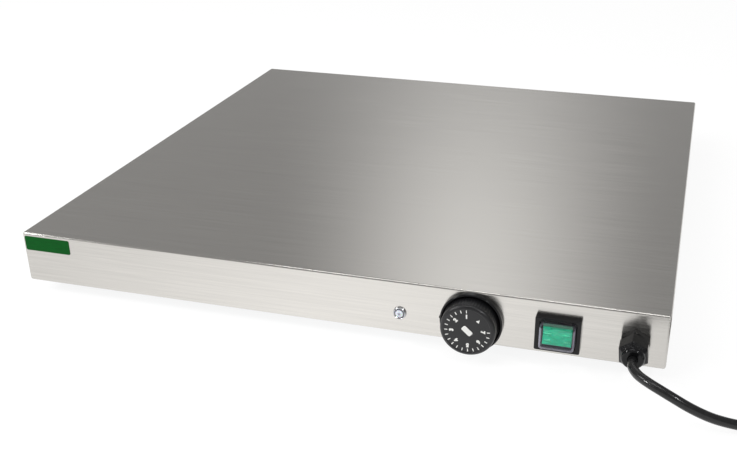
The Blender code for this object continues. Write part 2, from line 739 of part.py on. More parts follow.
def make_thermostat(casing):
    """The capillary thermostat behind the skirt, its two screws, its bulb and the clip."""
    axis = on_panel(DIAL_X, CONTROL_HEIGHT)
    low = (-THERMOSTAT_WIDTH / 2, -THERMOSTAT_HEIGHT / 2, PANEL_BACK - THERMOSTAT_DEPTH)
    high = (THERMOSTAT_WIDTH / 2, THERMOSTAT_HEIGHT / 2, PANEL_BACK)
    body = place_mesh("thermostat_body", box_mesh("thermostat_body", low, high, THERMOSTAT_ROUNDING),
                      BLACK, PANEL, axis)
    collar = cylinder("thermostat_collar", THERMOSTAT_COLLAR_RADIUS, PANEL_BACK - OVERRUN,
                      THERMOSTAT_COLLAR_LENGTH, None, PANEL, axis)
    boolean(body, collar, "UNION")
    bore = cylinder("spindle_bore", SPINDLE_RADIUS + GAP, -SPINDLE_DEPTH - GAP,
                    THERMOSTAT_COLLAR_LENGTH + OVERRUN, None, PANEL, axis)
    boolean(body, bore)
    panel_hole(casing, "dial_hole", THERMOSTAT_COLLAR_RADIUS + GAP, axis)

    head_top = GAP + THERMOSTAT_SCREW_HEAD_HEIGHT
    profile = [
        (0, head_top),
        (THERMOSTAT_SCREW_HEAD_RADIUS - GAP, head_top),
        (THERMOSTAT_SCREW_HEAD_RADIUS, head_top - GAP),
        (THERMOSTAT_SCREW_HEAD_RADIUS, GAP),
        (THERMOSTAT_SCREW_RADIUS, GAP),
        (THERMOSTAT_SCREW_RADIUS, GAP - THERMOSTAT_SCREW_LENGTH),
        (0, GAP - THERMOSTAT_SCREW_LENGTH),
    ]
    for number, side in enumerate((-1, 1), 1):
        place = axis + Vector((side * THERMOSTAT_SCREW_SPACING / 2, 0, 0))
        turned(f"thermostat_screw_{number}", profile, ZINC, PANEL, place, steps=SMALL_STEPS)
        hole_radius = THERMOSTAT_SCREW_RADIUS + SCREW_CLEARANCE
        hole = cylinder(f"thermostat_screw_hole_{number}", hole_radius,
                        -THERMOSTAT_SCREW_LENGTH - GAP, OVERRUN, None, PANEL, place)
        boolean(casing, hole)
        boolean(body, hole)

    bulb_z = SPREADER_BOTTOM - GAP - BULB_RADIUS
    bulb_front = Vector((BULB_X, BULB_FRONT_Y, bulb_z))
    cylinder("thermostat_bulb", BULB_RADIUS, -BULB_LENGTH, 0, BRASS, place=bulb_front, turn=OUTWARDS,
             steps=16)
    leaves = in_room(DIAL_X - THERMOSTAT_WIDTH / 2 + 2 * THERMOSTAT_ROUNDING,
                     CONTROL_HEIGHT + THERMOSTAT_HEIGHT / 2 + GAP + CAPILLARY_RADIUS,
                     PANEL_BACK - THERMOSTAT_DEPTH / 2)
    lane = (bulb_front.y + SPREADER_FRONT_Y) / 2
    stops = [
        leaves,
        leaves + Vector((-THERMOSTAT_WIDTH / 2, THERMOSTAT_DEPTH / 4, CAPILLARY_RADIUS)),
        Vector(((leaves.x + BULB_X) / 2 - THERMOSTAT_WIDTH / 4, SPREADER_FRONT_Y, bulb_z)),
        Vector((BULB_X, lane, bulb_z)),
        Vector((BULB_X, bulb_front.y - BULB_LENGTH / 4, bulb_z)),
        Vector((BULB_X, bulb_front.y - GAP, bulb_z)),
    ]
    tube("thermostat_capillary", smooth_curve(stops, LEAD_STEP), CAPILLARY_RADIUS, COPPER)

    inner = BULB_RADIUS + GAP
    outer = inner + BULB_CLIP_THICKNESS
    foot_x = outer + BULB_CLIP_FOOT
    foot_top = bulb_z + BULB_RADIUS
    half = [(foot_x, foot_top), (inner, foot_top)]
    for step in range(9):
        angle = math.radians(-90) * step / 8
        half.append((inner * math.cos(angle), bulb_z + inner * math.sin(angle)))
    under = []
    for step in range(9):
        angle = math.radians(-90) * (1 - step / 8)
        under.append((outer * math.cos(angle), bulb_z + outer * math.sin(angle)))
    under += [(outer, foot_top - BULB_CLIP_THICKNESS), (foot_x, foot_top - BULB_CLIP_THICKNESS)]
    outline = half + [(-x, z) for x, z in reversed(half[:-1])]
    outline += [(-x, z) for x, z in reversed(under)][:-1] + under
    mesh = outline_mesh("bulb_clip", outline, BULB_CLIP_WIDTH)
    place_mesh("bulb_clip", mesh, ZINC, place=Vector((BULB_X, bulb_front.y + BULB_LENGTH / 2, 0)),
               turn=OUTWARDS)


def make_bezel():
    """The dish behind the knob: a rounded rim, a floor with the spindle's hole, the index nib."""
    axis = on_panel(DIAL_X, CONTROL_HEIGHT)
    inner = BEZEL_RADIUS - BEZEL_LIP
    crown = BEZEL_LIP / 2
    rim = []
    for step in range(7):
        angle = math.pi * step / 6
        rim.append((inner + crown - crown * math.cos(angle),
                    BEZEL_HEIGHT - crown + crown * math.sin(angle)))
    profile = rim + [
        (BEZEL_RADIUS, GAP),
        (BEZEL_BORE_RADIUS, GAP),
        (BEZEL_BORE_RADIUS, BEZEL_FLOOR),
        (inner, BEZEL_FLOOR),
    ]
    bezel = turned("dial_bezel", profile, BLACK, PANEL, axis, steps=48, ring=True)
    nib = box_mesh(
        "bezel_index",
        (-BEZEL_RADIUS - BEZEL_INDEX_REACH, -BEZEL_INDEX_WIDTH / 2, GAP),
        (-BEZEL_RADIUS + BEZEL_LIP / 2, BEZEL_INDEX_WIDTH / 2, GAP + BEZEL_INDEX_HEIGHT),
        BEZEL_INDEX_HEIGHT / 4,
    )
    boolean(bezel, place_mesh("bezel_index", nib, None, PANEL, axis), "UNION")
    for number, side in enumerate((-1, 1), 1):
        place = axis + Vector((side * THERMOSTAT_SCREW_SPACING / 2, 0, 0))
        well = cylinder(f"bezel_screw_well_{number}", THERMOSTAT_SCREW_HEAD_RADIUS + GAP, -OVERRUN,
                        2 * GAP + THERMOSTAT_SCREW_HEAD_HEIGHT, None, PANEL, place)
        boolean(bezel, well)


def make_knob():
    """The hollow dial knob with its hub and ribs, the white marker, and the spindle it turns."""
    turn = Euler((math.radians(90), 0, 0))
    carrier = new_empty("knob_axis", in_room(DIAL_X, CONTROL_HEIGHT, 0), turn, TRAY)
    spin = Euler((0, 0, math.radians(KNOB_TURN_AT_REST_DEGREES)))
    back = BEZEL_FLOOR + KNOB_BACK_CLEARANCE
    bore = SPINDLE_RADIUS + GAP
    bore_end = SPINDLE_REACH + GAP
    edge = []
    for step in range(KNOB_EDGE_STEPS + 1):
        angle = math.radians(90) * (1 - step / KNOB_EDGE_STEPS)
        edge.append((KNOB_RADIUS - KNOB_EDGE_RADIUS * (1 - math.cos(angle)),
                     KNOB_FRONT - KNOB_EDGE_RADIUS * (1 - math.sin(angle))))
    ceiling = KNOB_FRONT - KNOB_FACE_RECESS - KNOB_WALL
    profile = [(0, KNOB_FRONT - KNOB_FACE_RECESS), (KNOB_FACE_RADIUS, KNOB_FRONT - KNOB_FACE_RECESS)]
    profile += edge
    profile += [
        (KNOB_RADIUS, back),
        (KNOB_RADIUS - KNOB_WALL, back),
        (KNOB_RADIUS - KNOB_WALL, ceiling - KNOB_WALL),
        (KNOB_RADIUS - 2 * KNOB_WALL, ceiling),
        (KNOB_HUB_RADIUS, ceiling),
        (KNOB_HUB_RADIUS, back),
        (bore, back),
        (bore, bore_end),
        (0, bore_end),
    ]
    knob = turned("dial_knob", profile, BLACK, carrier, turn=spin, steps=48)
    for number in range(KNOB_RIB_COUNT):
        angle = 2 * math.pi * number / KNOB_RIB_COUNT
        rib = box_mesh(
            "knob_rib",
            (KNOB_HUB_RADIUS - KNOB_WALL / 2, -KNOB_RIB_THICKNESS / 2, back + KNOB_RIB_SETBACK),
            (KNOB_RADIUS - KNOB_WALL / 2, KNOB_RIB_THICKNESS / 2, ceiling + KNOB_WALL / 2),
        )
        place = place_mesh(f"knob_rib_{number + 1}", rib, None, carrier, turn=Euler((0, 0, angle)))
        boolean(knob, place, "UNION")
    marker = rounded_rectangle(MARKER_LENGTH, MARKER_WIDTH, MARKER_CORNER_RADIUS)
    marker_turn = Euler((0, 0, math.radians(MARKER_TURN_DEGREES + KNOB_TURN_AT_REST_DEGREES)))
    face = KNOB_FRONT - KNOB_FACE_RECESS
    marker_middle = Vector((0, 0, face + MARKER_PROUD - MARKER_THICKNESS / 2))
    pocket = outline_mesh(
        "marker_pocket",
        rounded_rectangle(MARKER_LENGTH + 2 * GAP, MARKER_WIDTH + 2 * GAP, MARKER_CORNER_RADIUS + GAP),
        MARKER_THICKNESS + 2 * GAP,
    )
    boolean(knob, place_mesh("marker_pocket", pocket, None, carrier, marker_middle, marker_turn))
    place_mesh("knob_marker", outline_mesh("knob_marker", marker, MARKER_THICKNESS), WHITE, carrier,
               marker_middle, marker_turn)
    cylinder("thermostat_spindle", SPINDLE_RADIUS, -SPINDLE_DEPTH, SPINDLE_REACH, ZINC, carrier,
             steps=24)


def make_switch(casing):
    """The rocker switch: body in the skirt, clamp frame and clear cover in front, rocker and tabs."""
    axis = on_panel(SWITCH_X, CONTROL_HEIGHT)
    flange_front = GAP + SWITCH_FLANGE_THICKNESS
    cover_back = flange_front + GAP
    cover_step = cover_back + COVER_FLANGE_THICKNESS
    body = block("switch_body", (SWITCH_WIDTH, SWITCH_HEIGHT), -SWITCH_DEPTH, flange_front, BLACK,
                 PANEL, axis)
    flange = block("switch_flange", (SWITCH_FLANGE_WIDTH, SWITCH_FLANGE_HEIGHT), GAP, flange_front,
                   None, PANEL, axis)
    boolean(body, flange, "UNION")
    well = block("switch_well", (SWITCH_WELL_WIDTH, SWITCH_WELL_HEIGHT), -SWITCH_WELL_DEPTH,
                 flange_front + OVERRUN, None, PANEL, axis)
    boolean(body, well)
    sideways = Euler((0, math.radians(90), 0))
    reach = ROCKER_WIDTH / 2 + TRUNNION_REACH + GAP
    socket = cylinder("trunnion_socket", TRUNNION_RADIUS + GAP, -reach, reach, None, PANEL, axis,
                      sideways, steps=SMALL_STEPS)
    boolean(body, socket)
    cutout = block("switch_cutout", (SWITCH_WIDTH + 2 * GAP, SWITCH_HEIGHT + 2 * GAP),
                   -SHEET - OVERRUN, OVERRUN, None, PANEL, axis)
    boolean(casing, cutout)

    frame = place_mesh(
        "switch_frame",
        box_mesh("switch_frame", (-FRAME_WIDTH / 2, -FRAME_HEIGHT / 2, GAP),
                 (FRAME_WIDTH / 2, FRAME_HEIGHT / 2, GAP + FRAME_DEPTH), FRAME_ROUNDING),
        BLACK, PANEL, axis,
    )
    recess = block("frame_recess", (SWITCH_FLANGE_WIDTH + 2 * GAP, SWITCH_FLANGE_HEIGHT + 2 * GAP),
                   -OVERRUN, cover_step + GAP, None, PANEL, axis)
    window = block("frame_window", (COVER_WIDTH + 2 * GAP, COVER_HEIGHT + 2 * GAP), -OVERRUN,
                   GAP + FRAME_DEPTH + OVERRUN, None, PANEL, axis)
    boolean(frame, recess)
    boolean(frame, window)

    cover = place_mesh(
        "switch_cover",
        box_mesh("switch_cover", (-COVER_WIDTH / 2, -COVER_HEIGHT / 2, cover_back - OVERRUN),
                 (COVER_WIDTH / 2, COVER_HEIGHT / 2, COVER_FRONT), COVER_ROUNDING, 3),
        CLEAR, PANEL, axis,
    )
    rim = block("cover_flange", (SWITCH_FLANGE_WIDTH, SWITCH_FLANGE_HEIGHT), cover_back, cover_step,
                None, PANEL, axis)
    boolean(cover, rim, "UNION")
    hollow = place_mesh(
        "cover_hollow",
        box_mesh("cover_hollow",
                 (-COVER_WIDTH / 2 + COVER_WALL, -COVER_HEIGHT / 2 + COVER_WALL, cover_back - 2 * OVERRUN),
                 (COVER_WIDTH / 2 - COVER_WALL, COVER_HEIGHT / 2 - COVER_WALL, COVER_FRONT - COVER_WALL),
                 COVER_ROUNDING - COVER_WALL, 3),
        None, PANEL, axis,
    )
    trim = block("cover_trim", (FRAME_WIDTH, FRAME_HEIGHT), cover_back - 2 * OVERRUN, cover_back, None,
                 PANEL, axis)
    boolean(cover, hollow)
    boolean(cover, trim)

    make_rocker()

    tab_back = -SWITCH_DEPTH - GAP
    number = 0
    for side_y in (1, -1):
        for side_x in (-1, 1):
            number += 1
            place = axis + Vector((side_x * TAB_SPACING_X / 2, side_y * TAB_SPACING_Y / 2, 0))
            block(f"switch_tab_{number}", (TAB_THICKNESS, TAB_WIDTH), tab_back - TAB_LENGTH, tab_back,
                  BRASS, PANEL, place)


def make_rocker():
    """The rocker on its trunnions, pressed in at the top, with ribs at both ends of its faces."""
    tilt = Euler((math.radians(90 + ROCKER_TILT_DEGREES), 0, 0))
    carrier = new_empty("rocker_axis", in_room(SWITCH_X, CONTROL_HEIGHT, 0), tilt, TRAY)
    shoulder = ROCKER_HALF_HEIGHT - TRUNNION_RADIUS / 2
    keel_half = ROCKER_HALF_HEIGHT / 2
    upper = [(ROCKER_VALLEY, 0), (ROCKER_NOSE, ROCKER_HALF_HEIGHT), (0, shoulder),
             (-ROCKER_KEEL, keel_half)]
    outline = upper + [(z, -y) for z, y in reversed(upper[1:])]
    mesh = outline_mesh("switch_rocker", outline, ROCKER_WIDTH)
    side_on = Matrix(((0, 0, -1, 0), (0, 1, 0, 0), (1, 0, 0, 0), (0, 0, 0, 1)))
    mesh.transform(side_on)
    rocker = place_mesh("switch_rocker", mesh, GREEN, carrier)
    slope = math.atan2(ROCKER_NOSE - ROCKER_VALLEY, ROCKER_HALF_HEIGHT)
    for side_x in (-1, 1):
        for number in range(ROCKER_RIB_COUNT):
            offset = ROCKER_RIB_PITCH * (number - (ROCKER_RIB_COUNT - 1) / 2)
            rise = ROCKER_VALLEY + abs(offset) * math.tan(slope)
            lean = 0 if offset == 0 else math.copysign(slope, offset)
            rib = box_mesh(
                "rocker_rib",
                (-ROCKER_RIB_LENGTH / 2, -ROCKER_RIB_WIDTH / 2, -ROCKER_RIB_HEIGHT * 2),
                (ROCKER_RIB_LENGTH / 2, ROCKER_RIB_WIDTH / 2, ROCKER_RIB_HEIGHT),
                ROCKER_RIB_HEIGHT / 3,
            )
            middle_x = side_x * (ROCKER_WIDTH - ROCKER_RIB_LENGTH) / 2 - side_x * ROCKER_RIB_HEIGHT
            helper = place_mesh(f"rocker_rib_{side_x}_{number + 1}", rib, None, carrier,
                                Vector((middle_x, offset, rise)), Euler((lean, 0, 0)))
            boolean(rocker, helper, "UNION")
    reach = ROCKER_WIDTH / 2 + TRUNNION_REACH
    pivot = cylinder("rocker_trunnions", TRUNNION_RADIUS, -reach, reach, None, carrier,
                     turn=Euler((0, math.radians(90), 0)), steps=SMALL_STEPS)
    boolean(rocker, pivot, "UNION")


def make_lamp(casing):
    """The pilot lamp: a chromed rim with its barrel, the lens capsule inside, and a nut behind."""
    axis = on_panel(LAMP_X, LAMP_HEIGHT)
    rim_top = GAP + LAMP_RIM_HEIGHT
    profile = [
        (LAMP_BORE_RADIUS, rim_top),
        (LAMP_BORE_RADIUS + LAMP_RIM_FLAT, rim_top),
        (LAMP_RIM_RADIUS - LAMP_RIM_FLAT / 2, GAP + LAMP_RIM_FLAT),
        (LAMP_RIM_RADIUS, GAP + LAMP_RIM_FLAT / 2),
        (LAMP_RIM_RADIUS, GAP),
        (LAMP_BARREL_RADIUS, GAP),
        (LAMP_BARREL_RADIUS, -LAMP_BARREL_LENGTH),
        (LAMP_BORE_RADIUS, -LAMP_BARREL_LENGTH),
    ]
    turned("lamp_bezel", profile, CHROME, PANEL, axis, steps=32, ring=True)
    lens_radius = LAMP_BORE_RADIUS - GAP
    dome = lens_radius / 3
    lens = [(0, LAMP_LENS_FRONT)]
    for step in range(1, 5):
        angle = math.radians(90) * step / 4
        lens.append((lens_radius * math.sin(angle), LAMP_LENS_FRONT - dome * (1 - math.cos(angle))))
    lens += [(lens_radius, LAMP_LENS_FRONT - LAMP_LENS_LENGTH), (0, LAMP_LENS_FRONT - LAMP_LENS_LENGTH)]
    turned("lamp_lens", lens, LENS, PANEL, axis, steps=24)
    panel_hole(casing, "lamp_hole", LAMP_BARREL_RADIUS + GAP, axis)
    nut = hexagon("lamp_nut", LAMP_NUT_FLATS, PANEL_BACK - LAMP_NUT_THICKNESS, PANEL_BACK, ZINC, PANEL,
                  axis)
    boolean(nut, cylinder("lamp_nut_bore", LAMP_BARREL_RADIUS + GAP, PANEL_BACK - 2 * OVERRUN,
                          OVERRUN, None, PANEL, axis))


def make_gland(casing):
    """The cable gland: hexagon body through the skirt, sealing nut in front, seal and locknut."""
    axis = on_panel(GLAND_X, CONTROL_HEIGHT)
    cable = CORD_RADIUS + GAP
    body = hexagon("gland_body", GLAND_FLATS, GAP, GLAND_COLLAR, BLACK, PANEL, axis)
    thread = cylinder("gland_thread", GLAND_THREAD_RADIUS, -GLAND_THREAD_INSIDE, GLAND_THREAD_OUTSIDE,
                      None, PANEL, axis)
    boolean(body, thread, "UNION")
    boolean(body, cylinder("gland_bore", cable + GAP, -GLAND_THREAD_INSIDE - OVERRUN,
                           GLAND_THREAD_OUTSIDE + OVERRUN, None, PANEL, axis))
    panel_hole(casing, "gland_hole", GLAND_THREAD_RADIUS + GAP, axis)

    nut_back = GLAND_COLLAR + GLAND_SEAM
    hex_front = nut_back + GLAND_NUT_HEX
    corner = GLAND_FLATS / (2 * math.cos(math.radians(30)))
    nut_turn = Euler((0, 0, math.radians(GLAND_NUT_TURN_DEGREES)))
    nut = hexagon("gland_nut", GLAND_FLATS, nut_back, GLAND_NUT_END, BLACK, PANEL, axis, nut_turn)
    nose = [(0, GLAND_NUT_END)]
    steps = 5
    for step in range(steps + 1):
        angle = math.radians(90) * step / steps
        nose.append((GLAND_MOUTH_RADIUS + (GLAND_NOSE_RADIUS - GLAND_MOUTH_RADIUS) * math.sin(angle),
                     hex_front + (GLAND_NUT_END - hex_front) * math.cos(angle)))
    nose += [(corner - GLAND_CHAMFER, hex_front), (corner + GAP, hex_front - GLAND_CHAMFER),
             (corner + GAP, nut_back - OVERRUN), (0, nut_back - OVERRUN)]
    boolean(nut, turned("gland_nose", nose, None, PANEL, axis), "INTERSECT")
    seal_back = GLAND_THREAD_OUTSIDE + GAP
    seal_front = seal_back + GLAND_SEAL_LENGTH
    inside = [
        (0, GLAND_NUT_END + OVERRUN),
        (cable + GAP, GLAND_NUT_END + OVERRUN),
        (cable + GAP, seal_front + GAP),
        (GLAND_SEAL_RADIUS + GAP, seal_front + GAP),
        (GLAND_SEAL_RADIUS + GAP, seal_back),
        (GLAND_THREAD_RADIUS + GAP, seal_back),
        (GLAND_THREAD_RADIUS + GAP, nut_back - OVERRUN),
        (0, nut_back - OVERRUN),
    ]
    boolean(nut, turned("gland_nut_bore", inside, None, PANEL, axis))
    seal = [
        (GLAND_SEAL_RADIUS, seal_front),
        (GLAND_SEAL_RADIUS, seal_back),
        (cable, seal_back),
        (cable, seal_front),
    ]
    turned("gland_seal", seal, RUBBER, PANEL, axis, steps=24, ring=True)
    locknut = hexagon("gland_locknut", LOCKNUT_FLATS, PANEL_BACK - LOCKNUT_THICKNESS, PANEL_BACK, BLACK,
                      PANEL, axis)
    boolean(locknut, cylinder("locknut_bore", GLAND_THREAD_RADIUS + GAP, PANEL_BACK - 2 * OVERRUN,
                              OVERRUN, None, PANEL, axis))


def lead(name, stops, finish, spacing=LEAD_STEP):
    """An insulated lead that meets what it joins squarely: only its middle stretch is curved."""
    middle = smooth_curve(stops[1:-1], spacing)
    tube(name, np.vstack([stops[0], middle, stops[-1]]), LEAD_RADIUS, finish)


def make_terminals():
    """The terminal block with its screw wells, and the earth stud with its nut."""
    bottom = BASE_TOP + GAP
    top = bottom + BLOCK_HEIGHT
    low = (-BLOCK_WIDTH / 2, -BLOCK_LENGTH / 2, bottom)
    high = (BLOCK_WIDTH / 2, BLOCK_LENGTH / 2, top)
    middle_y = FRONT + BLOCK_SETBACK
    terminal = place_mesh("terminal_block", box_mesh("terminal_block", low, high), WHITE,
                          place=Vector((BLOCK_X, middle_y, 0)))
    ways = [middle_y + BLOCK_PITCH * (way - (BLOCK_WAYS - 1) / 2) for way in range(BLOCK_WAYS)]
    for way, y in enumerate(ways, 1):
        well = cylinder(f"terminal_well_{way}", BLOCK_WELL_RADIUS, top - BLOCK_WELL_DEPTH,
                        top + OVERRUN, None, place=Vector((BLOCK_X, y, 0)), steps=SMALL_STEPS)
        boolean(terminal, well)
    stud = Vector((STUD_X, FRONT + STUD_SETBACK, 0))
    nut_bottom = bottom + STUD_NUT_THICKNESS
    earth = cylinder("earth_stud", STUD_RADIUS, bottom, bottom + STUD_HEIGHT, BRASS, place=stud,
                     steps=SMALL_STEPS)
    nut = hexagon("earth_nut", STUD_NUT_FLATS, nut_bottom, nut_bottom + STUD_NUT_THICKNESS, None,
                  place=stud)
    foot = cylinder("earth_stud_foot", STUD_NUT_FLATS / 2, bottom, bottom + SHEET, None, place=stud,
                    steps=SMALL_STEPS)
    boolean(earth, nut, "UNION")
    boolean(earth, foot, "UNION")
    return ways, stud


def make_supply_leads(ways, stud, wire_z):
    """The sheathed cable end behind the gland and its three cores."""
    cylinder("supply_cable_end", CORD_RADIUS, -SHEATH_INSIDE, GLAND_NUT_END, RUBBER, PANEL,
             on_panel(GLAND_X, CONTROL_HEIGHT), steps=24)
    sheath_end = in_room(GLAND_X, CONTROL_HEIGHT, -SHEATH_INSIDE - GAP)
    block_right = BLOCK_X + BLOCK_WIDTH / 2 + GAP
    backwards = Vector((0, LEAD_STUB, 0))
    rightwards = Vector((LEAD_STUB, 0, 0))
    rise = Vector((0, 0, LEAD_SPACING / 2))
    for name, side, way, finish in (("supply_neutral_lead", -1, 0, BLUE),
                                    ("supply_live_lead", 1, 1, BROWN)):
        start = sheath_end + Vector((side * LEAD_SPACING, 0, LEAD_SPACING / 2))
        end = Vector((block_right, ways[way], wire_z))
        elbow = Vector((start.x + side * LEAD_SPACING, end.y - 2 * LEAD_STUB, (start.z + wire_z) / 2))
        stops = [start, start + backwards, elbow, end + 2 * rightwards + rise, end + rightwards, end]
        lead(name, stops, finish)
    start = sheath_end - Vector((0, 0, LEAD_SPACING))
    end = stud - Vector((0, STUD_NUT_FLATS / 2 + GAP, 0))
    end.z = BASE_TOP + GAP + STUD_NUT_THICKNESS + STUD_NUT_THICKNESS / 2
    elbow = Vector((stud.x + 2 * LEAD_SPACING, (start.y + end.y) / 2, (start.z + end.z) / 2))
    stops = [start, start + backwards, elbow, end - 2 * backwards + rise, end - backwards, end]
    lead("earth_lead", stops, EARTH)


def switch_tab_end(side_x, side_y):
    """The free end of a switch tab, where a lead meets it."""
    return in_room(SWITCH_X + side_x * TAB_SPACING_X / 2, CONTROL_HEIGHT + side_y * TAB_SPACING_Y / 2,
                   -SWITCH_DEPTH - 2 * GAP - TAB_LENGTH)


def make_switch_leads(ways, wire_z):
    """From the block's left side, forwards and up to the switch's upper tabs."""
    block_left = BLOCK_X - BLOCK_WIDTH / 2 - GAP
    leftwards = Vector((-LEAD_STUB, 0, 0))
    backwards = Vector((0, LEAD_STUB, 0))
    for name, side, way, finish in (("switch_neutral_lead", 1, 0, BLUE),
                                    ("switch_live_lead", -1, 1, BROWN)):
        start = Vector((block_left, ways[way], wire_z))
        end = switch_tab_end(side, 1)
        elbow = Vector((end.x, end.y + 4 * LEAD_STUB, (start.z + end.z) / 2))
        stops = [start, start + leftwards, elbow, end + backwards, end]
        lead(name, stops, finish)


def make_heater_leads():
    """From the switch by way of the thermostat to one end of the rod, and straight to the other."""
    backwards = Vector((0, LEAD_STUB, 0))
    thermostat_back = PANEL_BACK - THERMOSTAT_DEPTH - GAP
    low_row = CONTROL_HEIGHT - THERMOSTAT_HEIGHT / 4
    inlet = in_room(DIAL_X + THERMOSTAT_WIDTH / 4, low_row, thermostat_back)
    outlet = in_room(DIAL_X, low_row, thermostat_back)
    live_tab = switch_tab_end(-1, -1)
    middle = (live_tab + inlet) / 2 + 2 * backwards
    stops = [live_tab, live_tab + backwards, middle, inlet + backwards, inlet]
    lead("thermostat_lead", stops, BROWN)

    right_end = Vector((ELEMENT_HALF_SPAN, ELEMENT_END_Y - GAP, ELEMENT_Z))
    over_body = outlet + 2 * backwards + Vector((THERMOSTAT_WIDTH / 4, 0, THERMOSTAT_HEIGHT / 2))
    dip = Vector((0, 0, LEAD_SPACING))
    stops = [
        outlet,
        outlet + backwards,
        over_body,
        Vector(((over_body.x + right_end.x) / 2, over_body.y, right_end.z - 2 * LEAD_SPACING)),
        right_end - 3 * backwards - Vector((2 * LEAD_STUB, 0, 0)) - dip,
        right_end - 3 * backwards + Vector((LEAD_SPACING, 0, 0)) - dip / 2,
        right_end - backwards,
        right_end,
    ]
    lead("element_live_lead", stops, BROWN)

    left_end = Vector((-ELEMENT_HALF_SPAN, ELEMENT_END_Y - GAP, ELEMENT_Z))
    neutral_tab = switch_tab_end(1, -1)
    lane_y = ELEMENT_END_Y - 2 * LEAD_SPACING
    lane_z = CASING_BOTTOM + 3 * LEAD_SPACING
    corner = Vector((left_end.x + 3 * LEAD_STUB, lane_y - LEAD_STUB, lane_z + LEAD_STUB))
    climb = Vector((left_end.x - LEAD_SPACING, left_end.y - 4 * LEAD_STUB, (lane_z + left_end.z) / 2))
    stops = [
        neutral_tab,
        neutral_tab + backwards,
        Vector((SWITCH_X - SWITCH_WIDTH / 2, lane_y, lane_z)),
        Vector((DIAL_X, lane_y, lane_z)),
        Vector((0, lane_y, lane_z)),
        Vector((left_end.x / 2, lane_y, lane_z)),
        corner,
        climb,
        left_end - 2 * backwards - dip,
        left_end - backwards,
        left_end,
    ]
    lead("element_neutral_lead", stops, BLUE, 2 * LEAD_STEP)


def make_lamp_leads(ways, wire_z):
    """The pilot lamp's leads: one to the thermostat's upper row, one to the block's third way."""
    backwards = Vector((0, LEAD_STUB, 0))
    lamp_back = LAMP_LENS_FRONT - LAMP_LENS_LENGTH - GAP
    start = in_room(LAMP_X + LEAD_SPACING, LAMP_HEIGHT, lamp_back)
    tap = in_room(DIAL_X - THERMOSTAT_WIDTH / 3, CONTROL_HEIGHT + THERMOSTAT_HEIGHT / 4,
                  PANEL_BACK - THERMOSTAT_DEPTH - GAP)
    middle = (start + tap) / 2 + 4 * backwards
    stops = [start, start + backwards, middle, tap + backwards, tap]
    lead("lamp_live_lead", stops, BROWN)

    start = in_room(LAMP_X - LEAD_SPACING, LAMP_HEIGHT, lamp_back)
    end = Vector((BLOCK_X - BLOCK_WIDTH / 2 - GAP, ways[2], wire_z))
    lane_y = SPREADER_FRONT_Y - 3 * LEAD_SPACING
    lane_z = wire_z + LEAD_SPACING
    notch_x = PLATE_WIDTH / 2 - MAT_SIDE_INSET - MAT_NOTCH_WIDTH
    leftwards = Vector((-LEAD_STUB, 0, 0))
    stops = [
        start,
        start + backwards,
        Vector((LAMP_X + LEAD_STUB, (start.y + lane_y) / 2, (start.z + lane_z) / 2)),
        Vector((LAMP_X + 5 * LEAD_STUB, lane_y - LEAD_SPACING, lane_z)),
        Vector((DIAL_X, lane_y - LEAD_SPACING / 2, lane_z)),
        Vector((notch_x, lane_y, lane_z)),
        Vector((notch_x + 3 * LEAD_STUB, (lane_y + end.y) / 2, lane_z)),
        end + 2 * leftwards,
        end + leftwards,
        end,
    ]
    lead("lamp_neutral_lead", stops, BLUE)


def make_wiring():
    """Everything electrical in the control bay behind the front skirt."""
    ways, stud = make_terminals()
    wire_z = BASE_TOP + GAP + BLOCK_HEIGHT / 2
    make_supply_leads(ways, stud, wire_z)
    make_switch_leads(ways, wire_z)
    make_heater_leads()
    make_lamp_leads(ways, wire_z)


def coil_points():
    """Turns that spiral in on the worktop, climb where the spiral reverses, and spiral out on top."""
    count = round(COIL_TURNS * COIL_POINTS_PER_TURN)
    turns = np.linspace(0.0, COIL_TURNS, count + 1)
    from_middle = turns - COIL_TURNS / 2
    radius = COIL_INNER_RADIUS + COIL_PITCH * np.abs(from_middle)
    climb = np.clip(0.5 + 2 * from_middle, 0.0, 1.0)
    angle = 2 * np.pi * turns - np.pi / 2
    x = COIL_X + radius * np.cos(angle)
    y = COIL_Y + radius * np.sin(angle)
    z = COIL_Z + COIL_LIFT * climb
    return np.stack([x, y, z], axis=1)


def straightened(points, start_direction, end_direction):
    """The same tube with one diameter of straight run, square to its ends."""
    straight = 2 * CORD_RADIUS
    first = points[0] - straight * np.array(start_direction)
    last = points[-1] + straight * np.array(end_direction)
    return np.vstack([first, points, last])


def least_self_gap(points, radius):
    """The least clear distance between turns, on points more than a quarter turn apart."""
    apart = np.linalg.norm(points[:, None] - points[None, :], axis=2)
    order = np.arange(len(points))
    far = np.abs(order[:, None] - order[None, :]) > COIL_POINTS_PER_TURN // 4
    return apart[far].min() - 2 * radius


def polyline_length(points):
    return np.linalg.norm(np.diff(points, axis=0), axis=1).sum()


def make_cord():
    """The free cord, its coil and tie, and the plug, all lying on the worktop."""
    turns = straightened(coil_points(), (1, 0, 0), (0, 1, 0))
    exit_point = in_room(GLAND_X, CONTROL_HEIGHT, GLAND_NUT_END + GAP)
    coil_start = Vector(turns[0]) + Vector((-GAP, 0, 0))
    route = [Vector((GLAND_X, FRONT, 0)) + Vector(point) for point in CORD_ROUTE]
    free = np.vstack([exit_point, smooth_curve([*route, coil_start], CORD_POINT_SPACING)])
    tube("cord", free, CORD_RADIUS, RUBBER, CORD_BEVEL_STEPS)
    tube("cord_coil", turns, CORD_RADIUS, RUBBER, 1)
    length = polyline_length(free) + polyline_length(turns)
    print(f"cord length {length:.4f} m, least gap in the coil "
          f"{least_self_gap(turns, CORD_RADIUS) * 1000:.2f} mm")
    make_tie()
    make_plug(Vector(turns[-1]))


